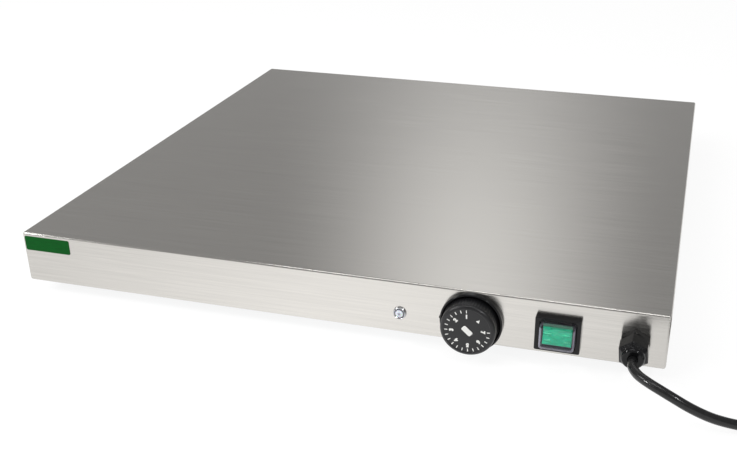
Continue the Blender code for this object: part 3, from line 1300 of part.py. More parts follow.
def make_tie():
    """A flat strap round the bundle of turns, square to them."""
    angle = math.radians(TIE_TURN_DEGREES)
    middle_radius = (COIL_INNER_RADIUS + COIL_OUTER_RADIUS) / 2
    inner_width = COIL_OUTER_RADIUS - COIL_INNER_RADIUS + 2 * (CORD_RADIUS + TIE_CLEARANCE)
    inner_height = COIL_LIFT + 2 * (CORD_RADIUS + TIE_CLEARANCE)
    outer = rounded_rectangle(inner_width + 2 * TIE_THICKNESS, inner_height + 2 * TIE_THICKNESS,
                              CORD_RADIUS)
    hollow = rounded_rectangle(inner_width, inner_height, CORD_RADIUS - TIE_THICKNESS)
    place = Vector((COIL_X + middle_radius * math.cos(angle), COIL_Y + middle_radius * math.sin(angle),
                    COIL_Z + COIL_LIFT / 2))
    turn = Euler((math.radians(90), 0, angle))
    tie = place_mesh("cord_tie", outline_mesh("cord_tie", outer, TIE_WIDTH), BLACK, place=place,
                     turn=turn)
    inside = outline_mesh("tie_inside", hollow, TIE_WIDTH + 2 * OVERRUN)
    boolean(tie, place_mesh("tie_inside", inside, None, place=place, turn=turn))


def make_plug(cord_end):
    """A two-pin earthed plug lying on its side, its sleeve end to the cord."""
    turn = Euler((math.radians(-90 + PLUG_PITCH_DEGREES), 0, 0))
    clearance = GAP + PLUG_SLEEVE_END_RADIUS * math.sin(math.radians(PLUG_PITCH_DEGREES))
    carrier = new_empty("plug_axes", cord_end + Vector((0, clearance, 0)), turn, TRAY)
    grip_start = PLUG_SLEEVE_LENGTH
    shoulder_start = grip_start + PLUG_GRIP_LENGTH
    disc_start = shoulder_start + PLUG_SHOULDER_LENGTH
    face = disc_start + PLUG_DISC_LENGTH
    profile = [
        (0, face),
        (PLUG_FACE_RADIUS - PLUG_EDGE, face),
        (PLUG_FACE_RADIUS, face - PLUG_EDGE),
        (PLUG_FACE_RADIUS, disc_start),
        (PLUG_SHOULDER_RADIUS, shoulder_start),
        (PLUG_GRIP_RADIUS + PLUG_EDGE, (grip_start + shoulder_start) / 2),
        (PLUG_GRIP_RADIUS, grip_start),
        (PLUG_SLEEVE_RADIUS, grip_start - PLUG_EDGE),
        (PLUG_SLEEVE_END_RADIUS, 0),
        (0, 0),
    ]
    body = turned("plug_body", profile, BLACK, carrier, steps=32)
    for number, side in enumerate((-1, 1), 1):
        slot_low = PLUG_FACE_RADIUS - PLUG_SLOT_DEPTH
        low = (-PLUG_SLOT_WIDTH / 2, slot_low, disc_start - OVERRUN)
        high = (PLUG_SLOT_WIDTH / 2, PLUG_FACE_RADIUS + OVERRUN, face + OVERRUN)
        slot = place_mesh(f"plug_slot_{number}", box_mesh("plug_slot", low, high), None, carrier,
                          turn=Euler((0, 0, side * math.radians(90))))
        boolean(body, slot)
    pin = [
        (0, face + PIN_LENGTH),
        (PIN_RADIUS / 2, face + PIN_LENGTH),
        (PIN_RADIUS, face + PIN_LENGTH - PIN_RADIUS / 2),
        (PIN_RADIUS, face - PIN_ROOT),
        (0, face - PIN_ROOT),
    ]
    for number, side in enumerate((-1, 1), 1):
        place = Vector((0, side * PIN_SPACING / 2, 0))
        socket = cylinder(f"pin_socket_{number}", PIN_RADIUS + GAP, face - PIN_ROOT - GAP,
                          face + OVERRUN, None, carrier, place, steps=PIN_STEPS)
        boolean(body, socket)
        turned(f"plug_pin_{number}", pin, BRASS, carrier, place, steps=PIN_STEPS)


def main():
    casing = make_casing()
    make_base(casing)
    make_feet()
    make_base_screws()
    make_heater()
    make_mat()
    make_thermostat(casing)
    make_bezel()
    make_knob()
    make_switch(casing)
    make_lamp(casing)
    make_gland(casing)
    make_wiring()
    make_cord()


main()
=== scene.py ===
"""The looks of an electric food warmer tray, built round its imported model."""

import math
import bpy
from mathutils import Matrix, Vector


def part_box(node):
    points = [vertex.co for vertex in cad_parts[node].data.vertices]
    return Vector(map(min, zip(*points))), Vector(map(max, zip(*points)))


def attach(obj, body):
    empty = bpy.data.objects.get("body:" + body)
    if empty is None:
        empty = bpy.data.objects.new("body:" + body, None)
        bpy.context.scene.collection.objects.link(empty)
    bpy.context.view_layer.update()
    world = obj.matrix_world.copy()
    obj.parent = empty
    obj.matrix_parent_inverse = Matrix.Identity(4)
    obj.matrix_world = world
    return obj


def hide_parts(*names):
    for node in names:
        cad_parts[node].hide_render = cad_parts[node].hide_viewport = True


bl_info = {
    "name": "Electric food warmer tray",
    "version": (1, 0, 0),
    "blender": (4, 5, 0),
    "location": "View3D > Sidebar > Warmer tray",
    "description": "Shapes, finishes, light and camera of an electric food warmer tray",
    "category": "Object",
}

import bmesh
import bpy
import numpy as np
from mathutils import Euler, Matrix, Vector

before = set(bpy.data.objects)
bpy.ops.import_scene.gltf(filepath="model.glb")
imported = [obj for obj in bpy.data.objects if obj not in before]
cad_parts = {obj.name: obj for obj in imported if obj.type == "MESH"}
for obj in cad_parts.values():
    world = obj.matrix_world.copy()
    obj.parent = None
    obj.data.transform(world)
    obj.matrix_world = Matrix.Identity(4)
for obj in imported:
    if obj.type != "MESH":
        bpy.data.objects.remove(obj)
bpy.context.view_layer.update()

MM = 0.001
GAP = 0.3 * MM
WELD = 0.001 * MM
FRONT_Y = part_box("casing")[0].y


def middle_on_front(name):
    """Where a node's middle lies on the front skirt: (x, z)."""
    low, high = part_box(name)
    return (low.x + high.x) / 2, (low.z + high.z) / 2


def half_width(name):
    low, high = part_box(name)
    return (high.x - low.x) / 2


def proud_of_front(name):
    """How far a node reaches in front of the front skirt."""
    return FRONT_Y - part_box(name)[0].y


DIAL = middle_on_front("dial_knob")
SWITCH = middle_on_front("switch_frame")
LAMP = middle_on_front("lamp_bezel")
GLAND = middle_on_front("gland_nut")


# Colours and sizes that a user would change

def linear(hex_colour):
    """An sRGB hex colour as linear red, green and blue."""
    parts = np.array([int(hex_colour[i:i + 2], 16) / 255 for i in (1, 3, 5)])
    return tuple(np.where(parts <= 0.04045, parts / 12.92, ((parts + 0.055) / 1.055) ** 2.4).tolist())


def length_property(name, description, default):
    return bpy.props.FloatProperty(name=name, description=description, default=default, min=0.0,
                                   precision=5, subtype="DISTANCE", unit="LENGTH")


def colour_property(name, description, hex_colour):
    return bpy.props.FloatVectorProperty(name=name, description=description, size=3, min=0.0, max=1.0,
                                         default=linear(hex_colour), subtype="COLOR")


class WarmerSizes(bpy.types.PropertyGroup):
    """Sizes of the pieces on the front skirt and of the cord."""

    knob_radius: length_property("Knob radius", "Radius of the dial knob", half_width("dial_knob"))
    knob_front: length_property("Knob front", "From the skirt to the knob's edge",
                                proud_of_front("dial_knob"))
    bezel_radius: length_property("Bezel radius", "Radius of the dish behind the knob", 27.3 * MM)
    bezel_height: length_property("Bezel height", "From the skirt to the crown of the dish's rim", 5.4 * MM)
    numeral_height: length_property("Numeral height", "Height of the numbers on the dial", 3.4 * MM)
    frame_depth: length_property("Frame depth", "Thickness of the switch's clamp frame", 6.0 * MM)
    cover_front: length_property("Cover front", "From the skirt to the clear cover's face",
                                 proud_of_front("switch_cover"))
    rocker_tilt: bpy.props.FloatProperty(name="Rocker tilt", description="Lean of the rocker at rest",
                                         default=math.radians(-8), subtype="ANGLE", unit="ROTATION")
    lamp_radius: length_property("Lamp radius", "Radius of the pilot lamp's rim", half_width("lamp_bezel"))
    gland_flats: length_property("Gland flats", "Width across the flats of the cable gland", 23.0 * MM)
    cord_diameter: length_property("Cord diameter", "Diameter of the supply cord", 8.0 * MM)


class WarmerColours(bpy.types.PropertyGroup):
    """Colours of the finishes."""

    steel: colour_property("Steel", "Brushed stainless steel", "#D9D6D1")
    black: colour_property("Black", "Moulded black plastic", "#0E0E10")
    print_white: colour_property("White", "Marks on the dial", "#F2F2EE")
    rocker: colour_property("Rocker", "Green of the switch's rocker", "#10D0A0")
    label: colour_property("Label", "Green of the bare plate", "#025018")
    rubber: colour_property("Rubber", "Black of the cord and the feet", "#111112")


class WarmerStudio(bpy.types.PropertyGroup):
    """Floor, light and camera."""

    floor_width: length_property("Floor width", "Side of the square floor", 9.0)
    ambient: bpy.props.FloatProperty(name="Ambient", description="Level of the light from all round",
                                     default=0.62, min=0.0)
    key_power: bpy.props.FloatProperty(name="Key power", description="Power of the large soft lamp",
                                       default=32.0, min=0.0, subtype="POWER", unit="POWER")
    focal_length: bpy.props.FloatProperty(name="Focal length", description="Focal length of the camera",
                                          default=49.358, subtype="DISTANCE_CAMERA")


def sizes():
    return bpy.context.scene.warmer_sizes


def colours():
    return bpy.context.scene.warmer_colours


# Surfaces from arrays of points

def rounded_path(corners, closed=False, steps=6):
    """A path of (x, y) through corners (x, y, radius), each corner rounded by an arc.

    The arc starts and ends radius / tan(half the corner's angle) from the corner, round a centre that
    lies radius / sin(half the angle) along the bisector, and its points turn evenly from side to side.
    """
    places = np.array([corner[:2] for corner in corners], float)
    path = []
    for number, (x, y, radius) in enumerate(corners):
        at_end = not closed and number in (0, len(corners) - 1)
        if radius <= 0 or at_end:
            path.append([[x, y]])
            continue
        here = places[number]
        back = places[number - 1] - here
        ahead = places[(number + 1) % len(corners)] - here
        back /= np.linalg.norm(back)
        ahead /= np.linalg.norm(ahead)
        half = math.acos(np.clip(back @ ahead, -1, 1)) / 2
        bisector = (back + ahead) / np.linalg.norm(back + ahead)
        centre = here + bisector * radius / math.sin(half)
        first = here + back * radius / math.tan(half) - centre
        last = here + ahead * radius / math.tan(half) - centre
        turn = math.pi - 2 * half
        share = np.linspace(0, 1, steps + 1)[:, None]
        arc = (np.sin((1 - share) * turn) * first + np.sin(share * turn) * last) / math.sin(turn)
        path.append(centre + arc)
    return np.vstack(path)


def turned_rings(path, around=96, reach=None):
    """Rings of a turned shape: x = r cos(a), y = r sin(a), z = the path's height, for (r, height).

    Where reach is given, r is the smaller of the path's radius and reach(a), as on a hexagon bar
    whose corners were turned down.
    """
    angle = np.linspace(0, 2 * np.pi, around, endpoint=False)
    radius = np.repeat(path[:, :1], around, axis=1)
    if reach is not None:
        radius = np.minimum(radius, reach(angle)[None, :])
    height = np.repeat(path[:, 1:], around, axis=1)
    return np.stack([radius * np.cos(angle), radius * np.sin(angle), height], axis=-1)


def rectangle_rings(half_x, half_y, radius, height, steps=5):
    """Rings that are rectangles with quarter circles for corners, one for each entry of the arrays.

    A point is its corner's centre plus the radius times the unit direction of its angle.
    """
    half_x, half_y, radius, height = np.broadcast_arrays(half_x, half_y, radius, height)
    quarter = np.linspace(0, np.pi / 2, steps + 1)
    angle = (np.arange(4)[:, None] * np.pi / 2 + quarter).ravel()
    side_x = np.repeat([1, -1, -1, 1], steps + 1)
    side_y = np.repeat([1, 1, -1, -1], steps + 1)
    x = side_x * (half_x - radius)[:, None] + radius[:, None] * np.cos(angle)
    y = side_y * (half_y - radius)[:, None] + radius[:, None] * np.sin(angle)
    z = np.repeat(height[:, None], len(angle), axis=1)
    return np.stack([x, y, z], axis=-1)


def skin(rings, ends="fan"):
    """Points and faces of a skin over rings: four-sided faces between neighbouring rings, and at the
    ends a fan to the ring's middle, or faces that join the last ring to the first."""
    count, around = rings.shape[:2]
    index = np.arange(count * around).reshape(count, around)
    if ends == "join":
        index = np.vstack([index, index[:1]])
    ahead = np.roll(index, -1, axis=1)
    faces = np.stack([index[:-1], ahead[:-1], ahead[1:], index[1:]], axis=-1).reshape(-1, 4).tolist()
    points = rings.reshape(-1, 3)
    if ends == "fan":
        points = np.vstack([points, rings[0].mean(axis=0), rings[-1].mean(axis=0)])
        first = np.full(around, count * around)
        faces += np.stack([first, ahead[0], index[0]], axis=-1).tolist()
        faces += np.stack([first + 1, index[-1], ahead[-1]], axis=-1).tolist()
    return points, faces


def moved(shape, offset):
    """A skin moved by an offset."""
    points, faces = shape
    return points + np.array(offset), faces


def joined(shapes):
    """Several skins as one."""
    points, faces, start = [], [], 0
    for shape_points, shape_faces in shapes:
        points.append(shape_points)
        faces += [[start + corner for corner in face] for face in shape_faces]
        start += len(shape_points)
    return np.vstack(points), faces


def spun(shape, degrees):
    """A skin turned anticlockwise in its own x and y."""
    points, faces = shape
    angle = math.radians(degrees)
    turn = np.array([[math.cos(angle), math.sin(angle), 0], [-math.sin(angle), math.cos(angle), 0],
                     [0, 0, 1]])
    return points @ turn, faces


def on_front(shape, centre):
    """A skin from (across, up, outward) round a centre on the front skirt to the model's own axes."""
    points, faces = shape
    across, up, out = points.T
    return np.stack([centre[0] + across, FRONT_Y - out, centre[1] + up], axis=-1), faces


def leaning(shape, angle):
    """A skin in (across, up, outward) with its top leaned outward by an angle."""
    points, faces = shape
    across, up, out = points.T
    return np.stack([across, up * math.cos(angle) - out * math.sin(angle),
                     out * math.cos(angle) + up * math.sin(angle)], axis=-1), faces


def carried(shape, matrix):
    """A skin moved by a 4 x 4 matrix."""
    points, faces = shape
    spread = np.array(matrix)
    return points @ spread[:3, :3].T + spread[:3, 3], faces


def put_in_scene(name, data):
    """A new object of the scene for a mesh, a curve, a lamp or a camera."""
    thing = bpy.data.objects.new(name, data)
    bpy.context.scene.collection.objects.link(thing)
    return thing


def clean(mesh, flat=None):
    """Merges points that coincide and turns the faces outward. Slivers go too or, where an angle is
    given, the faces that lie flat to within it become one."""
    shape = bmesh.new()
    shape.from_mesh(mesh)
    bmesh.ops.remove_doubles(shape, verts=shape.verts, dist=WELD)
    if flat is None:
        bmesh.ops.dissolve_degenerate(shape, edges=shape.edges, dist=WELD)
    else:
        bmesh.ops.dissolve_limit(shape, angle_limit=flat, verts=shape.verts, edges=shape.edges)
    bmesh.ops.recalc_face_normals(shape, faces=shape.faces)
    shape.to_mesh(mesh)
    shape.free()


def settle(name, mesh, body, slot, replaces, finish, sharp):
    """The piece of a mesh, smooth but for its sharp edges, on its body. Its finish is the
    slot's own unless another is named."""
    mesh.materials.clear()
    mesh.materials.append(FINISHES[finish or slot])
    mesh.shade_smooth()
    mesh.set_sharp_from_angle(angle=math.radians(sharp))
    piece = put_in_scene(name, mesh)
    even = piece.modifiers.new("even shading", "WEIGHTED_NORMAL")
    even.keep_sharp = True
    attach(piece, body)
    if replaces:
        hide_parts(*replaces)
    return piece


def add_piece(name, shape, body, slot, replaces=(), finish=None, sharp=50):
    """A piece at the origin with the points and faces of a skin."""
    points, faces = shape
    mesh = bpy.data.meshes.new(name)
    mesh.from_pydata(points.tolist(), [], faces)
    clean(mesh)
    return settle(name, mesh, body, slot, replaces, finish, sharp)


def smooth_copy(name, node, body, slot, sharp=35):
    """A merged, smooth-shaded copy of a node that stands for it."""
    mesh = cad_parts[node].data.copy()
    clean(mesh, math.radians(0.2))
    return settle(name, mesh, body, slot, (node,), None, sharp)


# Finishes, each kept under the name of the slot that it belongs to

FINISHES = {}


def add(tree, kind, inputs=None, **settings):
    """Adds a node, sets its fields, and links or sets its sockets by name or number."""
    made = tree.nodes.new(kind)
    for field, value in settings.items():
        setattr(made, field, value)
    for socket, value in (inputs or {}).items():
        if isinstance(value, bpy.types.NodeSocket):
            tree.links.new(value, made.inputs[socket])
        else:
            made.inputs[socket].default_value = value
    return made


def cleared_tree(owner):
    """The empty node tree of a new material or world."""
    owner.use_nodes = True
    owner.node_tree.nodes.clear()
    return owner.node_tree


def reckoned(tree, operation, *values):
    """One step of arithmetic on sockets and numbers."""
    return add(tree, "ShaderNodeMath", dict(enumerate(values)), operation=operation).outputs[0]


def noise(tree, place, width, detail=2.0):
    """Noise with features of a width in millimetres, or of three widths along x, y and z."""
    widths = width if isinstance(width, tuple) else (width,) * 3
    scaled = add(tree, "ShaderNodeMapping",
                 {"Vector": place, "Scale": tuple(1 / (part * MM) for part in widths)})
    made = add(tree, "ShaderNodeTexNoise",
               {"Vector": scaled.outputs["Vector"], "Scale": 1.0, "Detail": detail})
    return made.outputs["Fac"]


def ranged(tree, value, low, high, start=0.3, end=0.7, **settings):
    """The value spread from start..end to low..high."""
    made = add(tree, "ShaderNodeMapRange",
               {"Value": value, "From Min": start, "From Max": end, "To Min": low, "To Max": high},
               **settings)
    return made.outputs["Result"]


def mixed(tree, share, first, second):
    """Two colours mixed by a share; each is a hex colour, three levels or a socket."""
    made = add(tree, "ShaderNodeMix", {0: share}, data_type="RGBA")
    for number, value in ((6, first), (7, second)):
        if isinstance(value, bpy.types.NodeSocket):
            tree.links.new(value, made.inputs[number])
        else:
            made.inputs[number].default_value = (*levels(value), 1)
    return made.outputs[2]


def levels(colour):
    """Linear red, green and blue of a hex colour or of three levels."""
    return linear(colour) if isinstance(colour, str) else tuple(colour)


def shade(colour, factor):
    return tuple(min(1.0, part * factor) for part in colour)


def tint(tree, shader, share, first, second):
    """Base colour between two colours."""
    tree.links.new(mixed(tree, share, first, second), shader.inputs["Base Color"])


def dull(tree, shader, value, low, high, *span):
    """Roughness from low to high."""
    tree.links.new(ranged(tree, value, low, high, *span), shader.inputs["Roughness"])


def bump(tree, shader, height, depth):
    """Relief of a depth in millimetres."""
    made = add(tree, "ShaderNodeBump", {"Height": height, "Distance": depth * MM, "Strength": 1.0})
    tree.links.new(made.outputs["Normal"], shader.inputs["Normal"])


def new_finish(key, name, colour, roughness, **constants):
    """A Principled finish under its key, with its tree and its object coordinates."""
    finish = bpy.data.materials.new(name)
    tree = cleared_tree(finish)
    shader = add(tree, "ShaderNodeBsdfPrincipled",
                 {"Base Color": (*levels(colour), 1), "Roughness": roughness})
    for socket, value in constants.items():
        shader.inputs[socket.replace("_", " ")].default_value = value
    add(tree, "ShaderNodeOutputMaterial", {"Surface": shader.outputs["BSDF"]})
    FINISHES[key] = finish
    return tree, shader, add(tree, "ShaderNodeTexCoord").outputs["Object"]


# Low and high end of a noise that is spread out, and the levels where it starts and ends
EVEN = (0, 1, 0.3, 0.7)


def grained_finish(key, name, colour, roughness, width, tints=(), spread=(), rough=(), relief=0.0,
                   detail=2.0, **constants):
    """A finish that one noise of a width drives: its colour runs from the first tint to the second,
    where the noise is first spread if a spread is given; its roughness runs between the two rough
    levels; and it stands out by the relief in millimetres."""
    tree, shader, place = new_finish(key, name, colour, roughness, **constants)
    grain = noise(tree, place, width, detail)
    if tints:
        tint(tree, shader, ranged(tree, grain, *spread) if spread else grain, *tints)
    if rough:
        dull(tree, shader, grain, *rough)
    if relief:
        bump(tree, shader, grain, relief)
    return tree, shader, place


def make_brushed_steel():
    """Stainless sheet, brushed with a belt from left to right, and along the sides on the side skirts.

    To the eye: fine streaks along the brushing, and lights that smear out across it. The real lines
    are a tenth of a millimetre wide; they are drawn near a millimetre, as fine as the picture shows.
    """
    steel = tuple(colours().steel)
    tree, shader, place = new_finish("brushed_stainless", "stainless_steel_brushed", steel, 0.2,
                                     Metallic=1.0, Anisotropic=0.8)
    normal = add(tree, "ShaderNodeNewGeometry").outputs["Normal"]
    x = add(tree, "ShaderNodeSeparateXYZ", {"Vector": normal}).outputs["X"]
    on_side = reckoned(tree, "GREATER_THAN", reckoned(tree, "ABSOLUTE", x), 0.7)
    brush = add(tree, "ShaderNodeMix", {0: on_side, 4: (1, 0, 0), 5: (0, 1, 0)}, data_type="VECTOR")
    across = add(tree, "ShaderNodeVectorMath", {0: normal, 1: brush.outputs[1]},
                 operation="CROSS_PRODUCT")
    tree.links.new(across.outputs["Vector"], shader.inputs["Tangent"])
    along_x = noise(tree, place, (90, 1.1, 1.1), 3.0)
    along_y = noise(tree, place, (1.1, 90, 1.1), 3.0)
    lines = add(tree, "ShaderNodeMix", {0: on_side, 2: along_x, 3: along_y}).outputs[0]
    streaks = mixed(tree, ranged(tree, lines, *EVEN), shade(steel, 0.93), shade(steel, 1.05))
    cloud = noise(tree, place, (180, 60, 60))
    tint(tree, shader, ranged(tree, cloud, 0, 0.5), streaks, shade(steel, 0.97))
    dull(tree, shader, lines, 0.17, 0.22)
    bump(tree, shader, lines, 0.003)


def make_other_metals():
    """The metals that show below, on the plug and behind the skirt."""
    # Galvanised sheet: crystals of zinc as large as a fingernail, each with its own grey
    tree, shader, place = new_finish("galvanised_sheet", "steel_sheet_galvanised", "#B9BCBE", 0.45,
                                     Metallic=1.0)
    scaled = add(tree, "ShaderNodeMapping", {"Vector": place, "Scale": (1 / (9 * MM),) * 3})
    crystal = add(tree, "ShaderNodeTexVoronoi", {"Vector": scaled.outputs["Vector"], "Scale": 1.0})
    grey = add(tree, "ShaderNodeSeparateColor", {"Color": crystal.outputs["Color"]}).outputs["Red"]
    tint(tree, shader, grey, "#A9ADB0", "#C6C9CB")
    dull(tree, shader, grey, 0.36, 0.55, 0, 1)

    # Rolled aluminium: faint lines of the mill's rollers
    grained_finish("aluminium_sheet", "aluminium_sheet_rolled", "#D8D9DB", 0.35, (1.5, 120, 1.5),
                   ("#CFD0D2", "#E0E1E3"), rough=(0.28, 0.42), Metallic=1.0)

    # Element sheath: dull steel tube that heat has turned brown in patches
    grained_finish("element_sheath", "steel_tube_heat_tinted", "#5A5148", 0.5, 25,
                   ("#4A443F", "#7A6A58"), EVEN, detail=3.0, Metallic=1.0)

    # Satin chrome plate: a soft mirror with the faint unevenness of the part under it
    grained_finish("chrome_rim", "chrome_plate_satin", "#C4C6CA", 0.2, 0.8, rough=(0.18, 0.26),
                   Metallic=1.0)

    # Brass: drawn bar, with fine lines along it
    grained_finish("brass", "brass_drawn", "#CFA75A", 0.25, (0.7, 6, 0.7), ("#BE9348", "#DDB96C"),
                   rough=(0.18, 0.34), Metallic=1.0)

    # Zinc plate on small screws: bright, blue-grey, a little cloudy
    grained_finish("zinc_plated", "zinc_plate_bright", "#C4C7CC", 0.3, 1.2, ("#B4B8BE", "#D2D5D9"),
                   rough=(0.22, 0.4), Metallic=1.0)

    # Copper tube: drawn thin and handled, so patchy
    grained_finish("copper_capillary", "copper_tube_drawn", "#C8825E", 0.3, 5, ("#A9684A", "#D9936C"),
                   Metallic=1.0)


def make_plastics():
    """Mouldings, prints and insulation."""
    black = tuple(colours().black)
    # Glass-filled nylon, moulded against a spark-eroded tool: black, satin, finely grained
    tree, shader, place = grained_finish("black_moulding", "nylon_black_moulded", black, 0.34, 0.35,
                                         rough=(0.28, 0.42), relief=0.012, detail=3.0, IOR=1.53)
    patch = ranged(tree, noise(tree, place, 6), *EVEN)
    tint(tree, shader, patch, shade(black, 0.85), shade(black, 1.35))

    # Polished nylon of gland, bezel and clamp frame: a deeper black with a smooth face
    grained_finish("gloss_black", "nylon_black_polished", black, 0.1, 0.9,
                   (shade(black, 0.6), shade(black, 0.9)), rough=(0.08, 0.15), relief=0.002, IOR=1.53,
                   Specular_IOR_Level=0.3)

    # Pad-printed ink: white, flat, a little uneven in cover
    white = tuple(colours().print_white)
    grained_finish("white_moulding", "ink_white_printed", white, 0.5, 0.4, (shade(white, 0.86), white),
                   EVEN)

    # Polycarbonate rocker: clear green that lets light through, glossy, with a painted shadow of the clamp
    # frame's top bar darkening its upper end
    green = tuple(colours().rocker)
    tree, shader, place = new_finish("green_rocker", "polycarbonate_green_moulded", green, 0.22,
                                     IOR=1.58, Subsurface_Weight=0.35, Subsurface_Scale=1.5 * MM)
    depth = ranged(tree, noise(tree, place, (5, 2.2, 2.2)), *EVEN)
    cloudy = mixed(tree, depth, shade(green, 0.8), shade(green, 1.15))
    height = add(tree, "ShaderNodeSeparateXYZ", {"Vector": place}).outputs["Z"]
    # Painted shadow: the rocker's upper end turns dark green where the frame's top bar would shade it
    painted_frame_shadow = ranged(tree, height, 0, 1, SWITCH[1] + 5.0 * MM, SWITCH[1] + 8.5 * MM)
    tint(tree, shader, painted_frame_shadow, cloudy, "#006B48")
    dull(tree, shader, noise(tree, place, 0.5), 0.16, 0.3)

    # Soft clear vinyl cover: see-through, with the milky haze of a thin flexible moulding that
    # thickens where a wall is seen along its length, and is kept off the upward faces as painted shade
    tree, shader, place = grained_finish("clear_cover", "vinyl_clear_moulded", "#B9B7C6", 0.16, 3,
                                         rough=(0.1, 0.22), relief=0.05, IOR=1.4)
    edge_on = add(tree, "ShaderNodeLayerWeight", {"Blend": 0.5}).outputs["Facing"]
    normal = add(tree, "ShaderNodeNewGeometry").outputs["Normal"]
    rises = add(tree, "ShaderNodeSeparateXYZ", {"Vector": normal}).outputs["Z"]
    # Painted shade: the haze fades out on faces that look up, so the cover's top stays dark
    haze_and_painted_top_shade = reckoned(tree, "MULTIPLY", ranged(tree, edge_on, 0.05, 0.85, 0.15, 0.75),
                    ranged(tree, rises, 1, 0.1, 0.0, 0.3))
    tree.links.new(haze_and_painted_top_shade, shader.inputs["Alpha"])

    # Lamp lens: milky acrylic with a grey middle, and painted shade as a dark ring near its edge,
    # where the lens meets the hollow rim
    tree, shader, place = new_finish("lamp_lens", "acrylic_milky_moulded", "#E4E4EE", 0.15, IOR=1.49,
                                     Subsurface_Weight=0.3, Subsurface_Scale=1.0 * MM)
    axis = (LAMP[0], 0, LAMP[1])
    flat = add(tree, "ShaderNodeVectorMath", {0: place, 1: (1, 0, 1)}, operation="MULTIPLY")
    apart = add(tree, "ShaderNodeVectorMath", {0: flat.outputs[0], 1: axis}, operation="DISTANCE")
    apart = apart.outputs["Value"]
    clear = mixed(tree, noise(tree, place, 1.0), "#D5D6E2", "#F2F2F8")
    inside = mixed(tree, ranged(tree, apart, 0, 1, 0.7 * MM, 1.8 * MM), "#9494A6", clear)
    # Painted shade: a dark ring where the lens meets the chrome rim
    tint(tree, shader, ranged(tree, apart, 0, 1, 3.1 * MM, 3.9 * MM), inside, "#5C5C66")

    # Enamelled label plate: even green with a soft shine
    label = tuple(colours().label)
    tree, shader, place = grained_finish("label", "aluminium_plate_enamelled_green", label, 0.4,
                                         (7, 2, 2), (shade(label, 0.9), shade(label, 1.1)), EVEN,
                                         Specular_IOR_Level=0.12)
    dull(tree, shader, noise(tree, place, 1), 0.35, 0.48)

    # Rubber: extruded cord and pressed feet, dark, with a low sheen and a faint grain
    rubber = tuple(colours().rubber)
    tree, shader, place = grained_finish("black_rubber", "rubber_black_extruded", rubber, 0.22, 4,
                                         (shade(rubber, 0.8), shade(rubber, 1.5)), EVEN,
                                         rough=(0.18, 0.28), detail=3.0, IOR=1.52)
    bump(tree, shader, noise(tree, place, 0.7), 0.02)

    # Mineral fibre: pale felt with tangled strands
    grained_finish("mineral_fibre", "mineral_fibre_felted", "#DAD3B8", 0.95, (1.5, 1.5, 6),
                   ("#C3B994", "#EDE7D2"), EVEN, relief=0.6, detail=6.0)

    # Insulated leads: coloured PVC with a dull shine
    for key, name, dark, pale, start, end in (
        ("brown_lead", "vinyl_brown_extruded", "#5A351E", "#7A4A2C", 0.3, 0.72),
        ("blue_lead", "vinyl_blue_extruded", "#2B58A8", "#3D70C4", 0.3, 0.72),
        ("earth_lead", "vinyl_green_yellow_extruded", "#3E8B34", "#E0D324", 0.48, 0.52),
    ):
        grained_finish(key, name, pale, 0.4, 2.5, (dark, pale), (0, 1, start, end), IOR=1.53)


class WARMER_OT_finishes(bpy.types.Operator):
    """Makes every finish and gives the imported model's own pieces theirs"""

    bl_idname = "warmer.finishes"
    bl_label = "Finishes"

    def execute(self, context):
        make_brushed_steel()
        make_other_metals()
        make_plastics()
        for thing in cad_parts.values():
            for slot in thing.material_slots:
                slot.material = FINISHES[slot.material.name.split(".")[0]]
        return {"FINISHED"}


# Stage

# Camera as solved from the edges of the plate. Angles of the room are in degrees, its levels are
# shares of white, and its window stands round one azimuth, between a foot and a top.
CAMERA_PLACE = (0.29175, -1.02293, 0.45917)
CAMERA_HEADING = math.radians(15.745)
CAMERA_PITCH = math.radians(90 - 26.56)
CAMERA_ROLL = math.radians(0.07)
CAMERA_SHIFT = (-0.0603, 0.0496)
LOBE_AZIMUTH = -12.5
LOBE_HALF_WIDTH = 12.5
WINDOW_LEVEL = 0.70
WINDOW_FOOT = 12.5
WINDOW_TOP = 27.0
WALL_LEVEL = 0.3
WALL_TOP = 15.0
HORIZON_LEVEL = 0.6
FLOOR_PAINT = 0.14
FLOOR_BOUNCE = 0.4
FLOOR_LIGHT = 0.95
POOL_CENTRE = (0.0, -0.35, 0.0)
POOL_LEVELS = (1.12, 0.82)
POOL_REACH = (0.05, 0.32)

# Lamps: place in metres, width and depth of the panel, power in watts. The two sparks keep their
# distance from the gland, because they make the glints on its nut.
KEY_PLACE = (-1.2, -1.8, 1.9)
KEY_TARGET = (0, -0.1, 0)
KEY_SIZE = (1.4, 1.4)
LEFT_SPARK_FROM_GLAND = Vector((-1.58, -0.78, 0.95))
RIGHT_SPARK_FROM_GLAND = Vector((0.96, -0.96, 1.47))
SPARK_SIZE = (0.2, 0.2)
SPARK_POWER = 8.0
WEST_PLACE = (-1.62, -0.4, 1.37)
WEST_SIZE = (0.4, 0.7)
WEST_POWER = 6.0
STRIP_PLACE = (-0.1, -0.6, 1.6)
STRIP_TARGET = (-0.1, FRONT_Y, 0.05)
STRIP_SIZE = (1.2, 0.25)
STRIP_POWER = 4.0


def sightings(tree):
    """1 for rays that come from the camera or through clear things, and 1 for rays off shiny ones."""
    path = add(tree, "ShaderNodeLightPath").outputs
    seen = reckoned(tree, "MAXIMUM", path["Is Camera Ray"], path["Is Transmission Ray"])
    return seen, path["Is Glossy Ray"]


